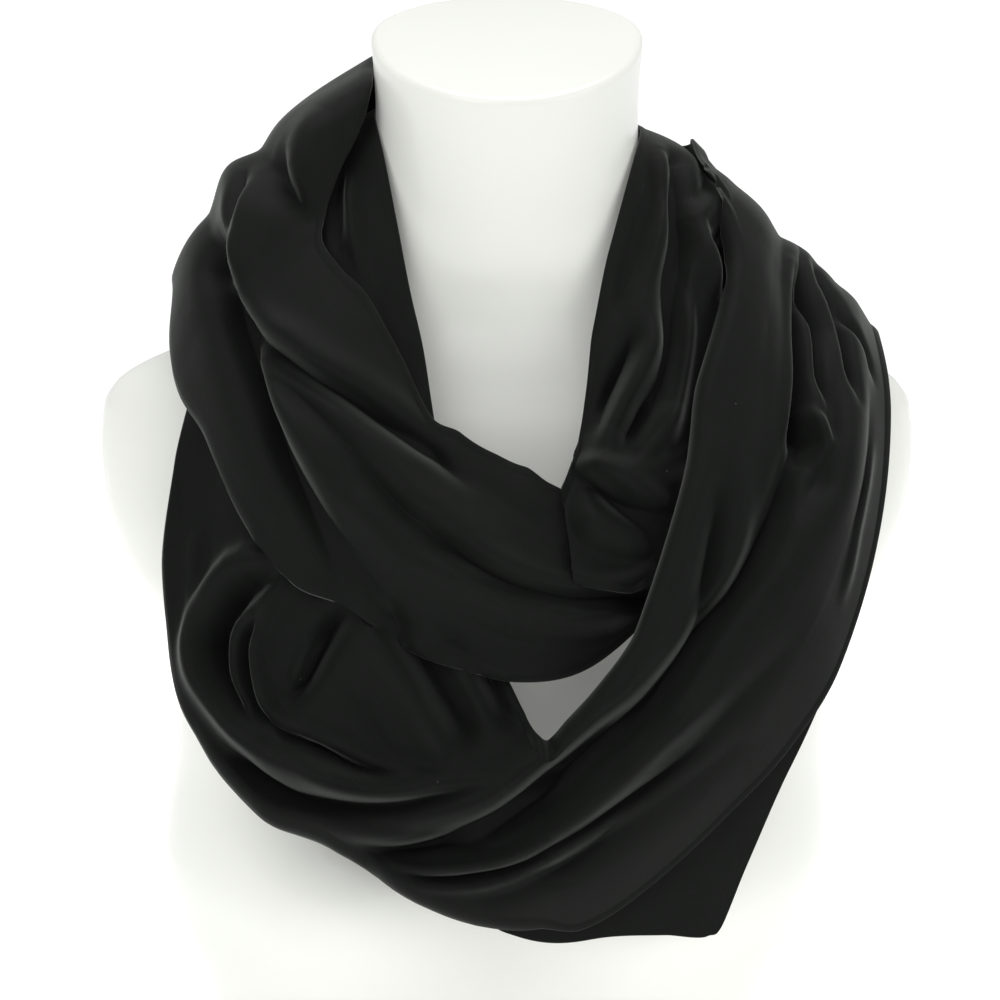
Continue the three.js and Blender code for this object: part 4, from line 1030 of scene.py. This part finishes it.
def stretch(name, start, end, steps):
    """One stretch of the strip as a closed shell, from one angle to another."""
    step = (end - start) / steps
    angles = start + step * np.arange(-1, steps + 2)
    grid = strip_point(angles[:, None], ACROSS[None, :])
    thick = np.full(grid[1:-1].shape[:2], CLOTH)
    piece = shell(name, grid, cloth_uv(grid[1:-1], length_along(angles[1:-1])), thick)
    long = np.linalg.norm(np.diff(grid[1:-1], axis=0), axis=-1).sum(0).mean() * MM
    wide = np.linalg.norm(np.diff(grid[1:-1], axis=1), axis=-1).sum(1).mean() * MM
    print(f"  {long:.3f} m along and {wide:.3f} m across")
    return piece, (round(wide, 3), round(long, 3))


# %% The seven stretches
STRETCHES = [
    ("inner_right", 106, 205, 200, ["dress_form", "knit_upper_swag"]),
    ("inner_back", 205, 335, 110, ["dress_form"]),
    ("inner_left", 335, 390, 115, ["dress_form"]),
    ("lower_swag", 390, 468, 230, ["dress_form"]),
    ("outer_right", 468, 550, 230, ["dress_form", "knit_inner_right"]),
    ("outer_back", 550, 700, 190, ["dress_form", "knit_inner_back"]),
    ("upper_swag", 700, 848, 340, ["dress_form", "knit_inner_left", "knit_lower_swag"]),
]
scarf = {}
for name, start, end, steps, _ in STRETCHES:
    scarf[name] = stretch("knit_" + name, start, end, steps)

# %% The flat layer that hangs below
UNDER_STEPS = 200
UNDER_WIDE_STEPS = 70
under_rows = np.linspace(-0.06, len(UNDER_LAYER["a"]) - 1 + 0.06, UNDER_STEPS)
under_across = np.linspace(0, 1, UNDER_WIDE_STEPS)
under_grid = under_point(under_rows[:, None], under_across[None, :])
under_along = np.linalg.norm(np.diff(under_grid[:, UNDER_WIDE_STEPS // 2], axis=0), axis=-1).cumsum()[:-1]
under_piece = shell(
    "knit_under_layer",
    under_grid,
    cloth_uv(under_grid[1:-1], under_along),
    np.full(under_grid[1:-1].shape[:2], CLOTH),
)

# %% [markdown]
# ## The display form
# A moulded shell: smooth rings from the base to the neck, pushed out at the chest, with the neck's top
# cut on a slant. The rings close over both ends with a rounded rim, as a moulded edge has.

# %% Rings of the form
AROUND = 160
NECK_CUT = 0.33
LEAN = -12
BUST = dict(x=78, z=152, wide=54, high=50, deep=36)


def form_point(turn, z, inset=0.0):
    """A superellipse with the level's own half width and reach to the front and back, drawn in by inset
    at the ends. Two mounds, exp(-dx² - dz²), push its front out, and the neck leans its top forward."""
    c, s = np.cos(turn), np.sin(turn)
    half, power = column(FORM, "z", "half", z), column(FORM, "z", "square", z)
    deep = np.where(s > 0, column(FORM, "z", "front", z), column(FORM, "z", "back", z))
    r = (np.abs(c / half) ** power + np.abs(s / deep) ** power) ** (-1 / power) - inset
    x = -r * c
    mound = np.exp(-(((np.abs(x) - BUST["x"]) / BUST["wide"]) ** 2) - ((z - BUST["z"]) / BUST["high"]) ** 2)
    y = -r * s - BUST["deep"] * mound * smooth(s, 0, 0.6)
    tilt = NECK_CUT * smooth(z, 456, FORM["z"][-1])
    x = x + LEAN * (1 - smooth(z, 0, 300))
    return np.stack([x, y, z + tilt * (y + 10)], -1)


TOP = FORM["z"][-1]
EDGE = 3.5
LEVELS = 190
bend = np.linspace(0, np.pi / 2, 6)
rise, draw_in = EDGE * (1 - np.cos(bend)), EDGE * (1 - np.sin(bend))
levels = np.concatenate([rise[:-1], np.linspace(EDGE, TOP - EDGE, LEVELS), TOP - draw_in[1:]])
insets = np.concatenate([draw_in[:-1], np.zeros(LEVELS), rise[1:]])
turns = np.linspace(0, 2 * np.pi, AROUND, endpoint=False)
rings = form_point(turns[None, :], levels[:, None], insets[:, None])
print("form rings:", rings.shape[:2])

# %% Close the ends and make the mesh
count = len(rings)
spot = np.arange(count * AROUND).reshape(count, AROUND)
after = np.roll(spot, -1, axis=1)
form_faces = np.stack([spot[:-1], after[:-1], after[1:], spot[1:]], -1).reshape(-1, 4).tolist()
centres = np.stack([rings[0].mean(0), rings[-1].mean(0)])
form_points = np.concatenate([rings.reshape(-1, 3), centres])
low_centre, high_centre = count * AROUND, count * AROUND + 1
form_faces += np.stack([np.full(AROUND, low_centre), after[0], spot[0]], -1).tolist()
form_faces += np.stack([np.full(AROUND, high_centre), spot[-1], after[-1]], -1).tolist()
form_uv = np.stack([np.arctan2(form_points[:, 0], -form_points[:, 1]), form_points[:, 2]], -1)
form_piece = piece_from("moulded_form", form_points, form_faces, form_uv)

# %% [markdown]
# ## Materials
# Black jersey isn't one black. Each stitch is a small bright-and-dark V, the yarn reflects a little more
# along the folds than into them, and a few pale bits of lint lie on it. The form is a glossy off-white
# shell, made a little brighter by a painted emission.


# %% A socket that Python's operators work on
class Socket:
    """One output of a node. Arithmetic on it adds Math nodes; node() adds any other kind."""

    def __init__(self, tree, link=None):
        self.tree, self.link = tree, link

    def node(self, kind, settings, inputs, output=0):
        """A node of one kind: its settings are set first, then the values or links of its sockets."""
        made = self.tree.nodes.new(kind)
        for name, value in settings.items():
            setattr(made, name, value)
        for name, value in inputs.items():
            if isinstance(value, Socket):
                self.tree.links.new(value.link, made.inputs[name])
            else:
                made.inputs[name].default_value = value
        return Socket(self.tree, made.outputs[output])

    def maths(self, operation, *values):
        return self.node("ShaderNodeMath", {"operation": operation}, dict(enumerate(values)))

    def __add__(self, other):
        return self.maths("ADD", self, other)

    def __sub__(self, other):
        return self.maths("SUBTRACT", self, other)

    def __rsub__(self, other):
        return self.maths("SUBTRACT", other, self)

    def __mul__(self, other):
        return self.maths("MULTIPLY", self, other)

    def __truediv__(self, other):
        return self.maths("DIVIDE", self, other)

    __radd__ = __add__


def between(mask, low, high):
    """A mask's values from low to high, stretched over 0 to 1 and held there."""
    settings = {"interpolation_type": "SMOOTHSTEP", "clamp": True}
    return mask.node("ShaderNodeMapRange", settings, {"Value": mask, "From Min": low, "From Max": high})


def blend_colour(mask, low, high):
    inputs = {"Factor": mask, 6: low, 7: high}
    return mask.node("ShaderNodeMix", {"data_type": "RGBA"}, inputs, 2)


def noise(at, scale, detail=2.0):
    return at.node("ShaderNodeTexNoise", {}, {"Vector": at, "Scale": scale, "Detail": detail}, "Fac")


def new_material(name, **fixed):
    """An empty Principled material, with the values that are the same all over it."""
    material = bpy.data.materials.new(name)
    material.use_nodes = True
    shader = material.node_tree.nodes["Principled BSDF"]
    for socket, value in fixed.items():
        shader.inputs[socket.replace("_", " ")].default_value = value
    return material, shader, Socket(material.node_tree)


# %% Black jersey
WALE = 0.0008
COURSE = 0.0010


def jersey():
    """Height of the knit: each wale is a round rib, 1 - s², where s runs from 0 at its middle to 1 at
    its sides, and the stitches are a sine along it whose phase lags by s, which draws the V."""
    sheen = dict(Sheen_Weight=0.2, Sheen_Roughness=0.36, Sheen_Tint=(0.9, 0.95, 0.9, 1.0))
    material, shader, start = new_material("black_jersey", Specular_IOR_Level=0.1, **sheen)
    uv = start.node("ShaderNodeUVMap", {"uv_map": "cloth"}, {})
    split = material.node_tree.nodes.new("ShaderNodeSeparateXYZ")
    material.node_tree.links.new(uv.link, split.inputs[0])
    along, across = (Socket(material.node_tree, split.outputs[i]) for i in (0, 1))
    rib = (across / WALE).maths("FRACT", across / WALE)
    side = rib.maths("ABSOLUTE", rib - 0.5) * 2
    wave = (along / COURSE + side * 0.5) * (2 * np.pi)
    stitch = wave.maths("SINE", wave)
    knit = (1 - side * side) * 0.7 + stitch * 0.3
    stretched = start.node("ShaderNodeMapping", {}, {"Vector": uv, "Scale": (25.0, 900.0, 1.0)})
    yarn = noise(stretched, 1.0, 3.0)
    place = start.node("ShaderNodeTexCoord", {}, {}, "Object")
    cloudy = noise(place, 35.0, 4.0)
    fleck = start.node("ShaderNodeTexVoronoi", {}, {"Vector": place, "Scale": 95.0}, "Distance")
    pick = start.node("ShaderNodeTexVoronoi", {}, {"Vector": place, "Scale": 95.0}, "Color")
    chance = start.node("ShaderNodeSeparateColor", {}, {"Color": pick}, 0)
    lint = (1 - between(fleck, 0.02, 0.045)) * between(chance, 0.965, 0.97)
    tone = cloudy * 0.35 + yarn * 0.35 + knit * 0.3
    colour = blend_colour(between(tone, 0.25, 0.8), (0.0028, 0.0036, 0.0029, 1), (0.0078, 0.009, 0.0077, 1))
    colour = blend_colour(lint * 0.7, colour, (0.16, 0.16, 0.15, 1))
    heights = knit * 0.6 + yarn * 0.5 + cloudy * 0.6
    raised = {"Strength": 0.3, "Distance": 0.0002, "Height": heights}
    bump = start.node("ShaderNodeBump", {}, raised, "Normal")
    links = {"Base Color": colour, "Roughness": 0.52 + cloudy * 0.2, "Normal": bump}
    for socket, value in links.items():
        material.node_tree.links.new(value.link, shader.inputs[socket])
    return material


jersey_material = jersey()
print("jersey nodes:", len(jersey_material.node_tree.nodes))


# %% The form's glossy shell
def glossy_shell():
    """Off-white with the faintest cloudiness, a gloss that scuffs make a little uneven, and a faint
    emission that paints extra light over the whole shell.
    """
    # Painted light: a faint off-white emission brightens the whole shell, though it is no lamp.
    painted_glow = dict(Emission_Color=(0.80, 0.81, 0.77, 1.0), Emission_Strength=0.13)
    material, shader, start = new_material("glossy_off_white", Coat_Weight=0.3, Coat_Roughness=0.12, **painted_glow)
    place = start.node("ShaderNodeTexCoord", {}, {}, "Object")
    cloudy, fine = noise(place, 9.0, 3.0), noise(place, 160.0, 3.0)
    colour = blend_colour(cloudy, (0.70, 0.71, 0.66, 1), (0.75, 0.76, 0.715, 1))
    heights = cloudy * 0.5 + fine * 0.05
    raised = {"Strength": 0.25, "Distance": 0.002, "Height": heights}
    bump = start.node("ShaderNodeBump", {}, raised, "Normal")
    links = {"Base Color": colour, "Roughness": 0.26 + fine * 0.14, "Normal": bump}
    for socket, value in links.items():
        material.node_tree.links.new(value.link, shader.inputs[socket])
    return material


form_material = glossy_shell()
print("shell nodes:", len(form_material.node_tree.nodes))

# %% [markdown]
# ## Dressing the model
# Each piece now stands for one CAD node: it rides on the same body, hides the plain solid and takes its
# finish.

# %% Every stretch replaces its node
for name, start, end, _, under in STRETCHES:
    piece, flat = scarf[name]
    piece.data.materials.append(jersey_material)
    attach(piece, "root")
    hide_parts(name)

under_piece.data.materials.append(jersey_material)
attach(under_piece, "root")
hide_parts("under_layer")

form_piece.data.materials.append(form_material)
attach(form_piece, "root")
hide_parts("dress_form")

# %% [markdown]
# ## The studio
# A plain white floor, a wide soft light from the upper left, a fill from the right and one above, and the
# camera at the photograph's height and distance.


# %% Floor
def floor_material():
    material, shader, start = new_material("pale_floor", Roughness=0.9, Emission_Strength=0.64)
    place = start.node("ShaderNodeTexCoord", {}, {}, "Object")
    colour = blend_colour(noise(place, 0.8), (0.84, 0.84, 0.84, 1), (0.86, 0.86, 0.86, 1))
    for socket in ("Base Color", "Emission Color"):
        material.node_tree.links.new(colour.link, shader.inputs[socket])
    return material


FLOOR_HALF = 30.0
corner = FLOOR_HALF * np.array([[-1, -1, 0], [1, -1, 0], [1, 1, 0], [-1, 1, 0]])
floor_mesh = bpy.data.meshes.new("floor")
floor_mesh.from_pydata(corner + np.array([0, 0, -0.0005]), [], [[0, 1, 2, 3]])
floor = bpy.data.objects.new("floor", floor_mesh)
bpy.context.scene.collection.objects.link(floor)
floor_mesh.materials.append(floor_material())

# %% Camera
SENSOR = 36
PICTURE_WIDTH = 1000
TO_THE_LEFT = np.array([-3.3, 0, 0])
target = Vector(ORIGIN + (AIM + TO_THE_LEFT) * MM)
back = Vector(BACKWARD)
lens = bpy.data.cameras.new("camera")
lens.sensor_width = SENSOR
lens.lens = SENSOR * FOCAL_PIXELS / PICTURE_WIDTH
camera = bpy.data.objects.new("camera", lens)
camera.location = target + back * DISTANCE * MM
camera.rotation_mode = "QUATERNION"
camera.rotation_quaternion = (-back).to_track_quat("-Z", "Y")
bpy.context.scene.collection.objects.link(camera)
bpy.context.scene.camera = camera


# %% Lights
def soft_light(name, place, aim, size, power):
    """A square area light, turned to face a point."""
    data = bpy.data.lights.new(name, "AREA")
    data.shape = "SQUARE"
    data.size = size
    data.energy = power
    light = bpy.data.objects.new(name, data)
    light.location = place
    light.rotation_mode = "QUATERNION"
    light.rotation_quaternion = (Vector(aim) - Vector(place)).to_track_quat("-Z", "Y")
    bpy.context.scene.collection.objects.link(light)


middle = (0, 0, 0.35)
PANEL = 1.2
soft_light("key", (-0.9, -1.4, 2.0), middle, PANEL, 10)
soft_light("fill", (1.6, -1.0, 1.2), middle, PANEL, 5)
soft_light("top", (0.1, 0.3, 2.2), middle, PANEL, 15)
world = bpy.data.worlds.new("studio")
bpy.context.scene.world = world
world.use_nodes = True
world.node_tree.nodes["Background"].inputs["Color"].default_value = (1, 1, 1, 1)
world.node_tree.nodes["Background"].inputs["Strength"].default_value = 0.58
bpy.context.scene.view_settings.view_transform = "Standard"
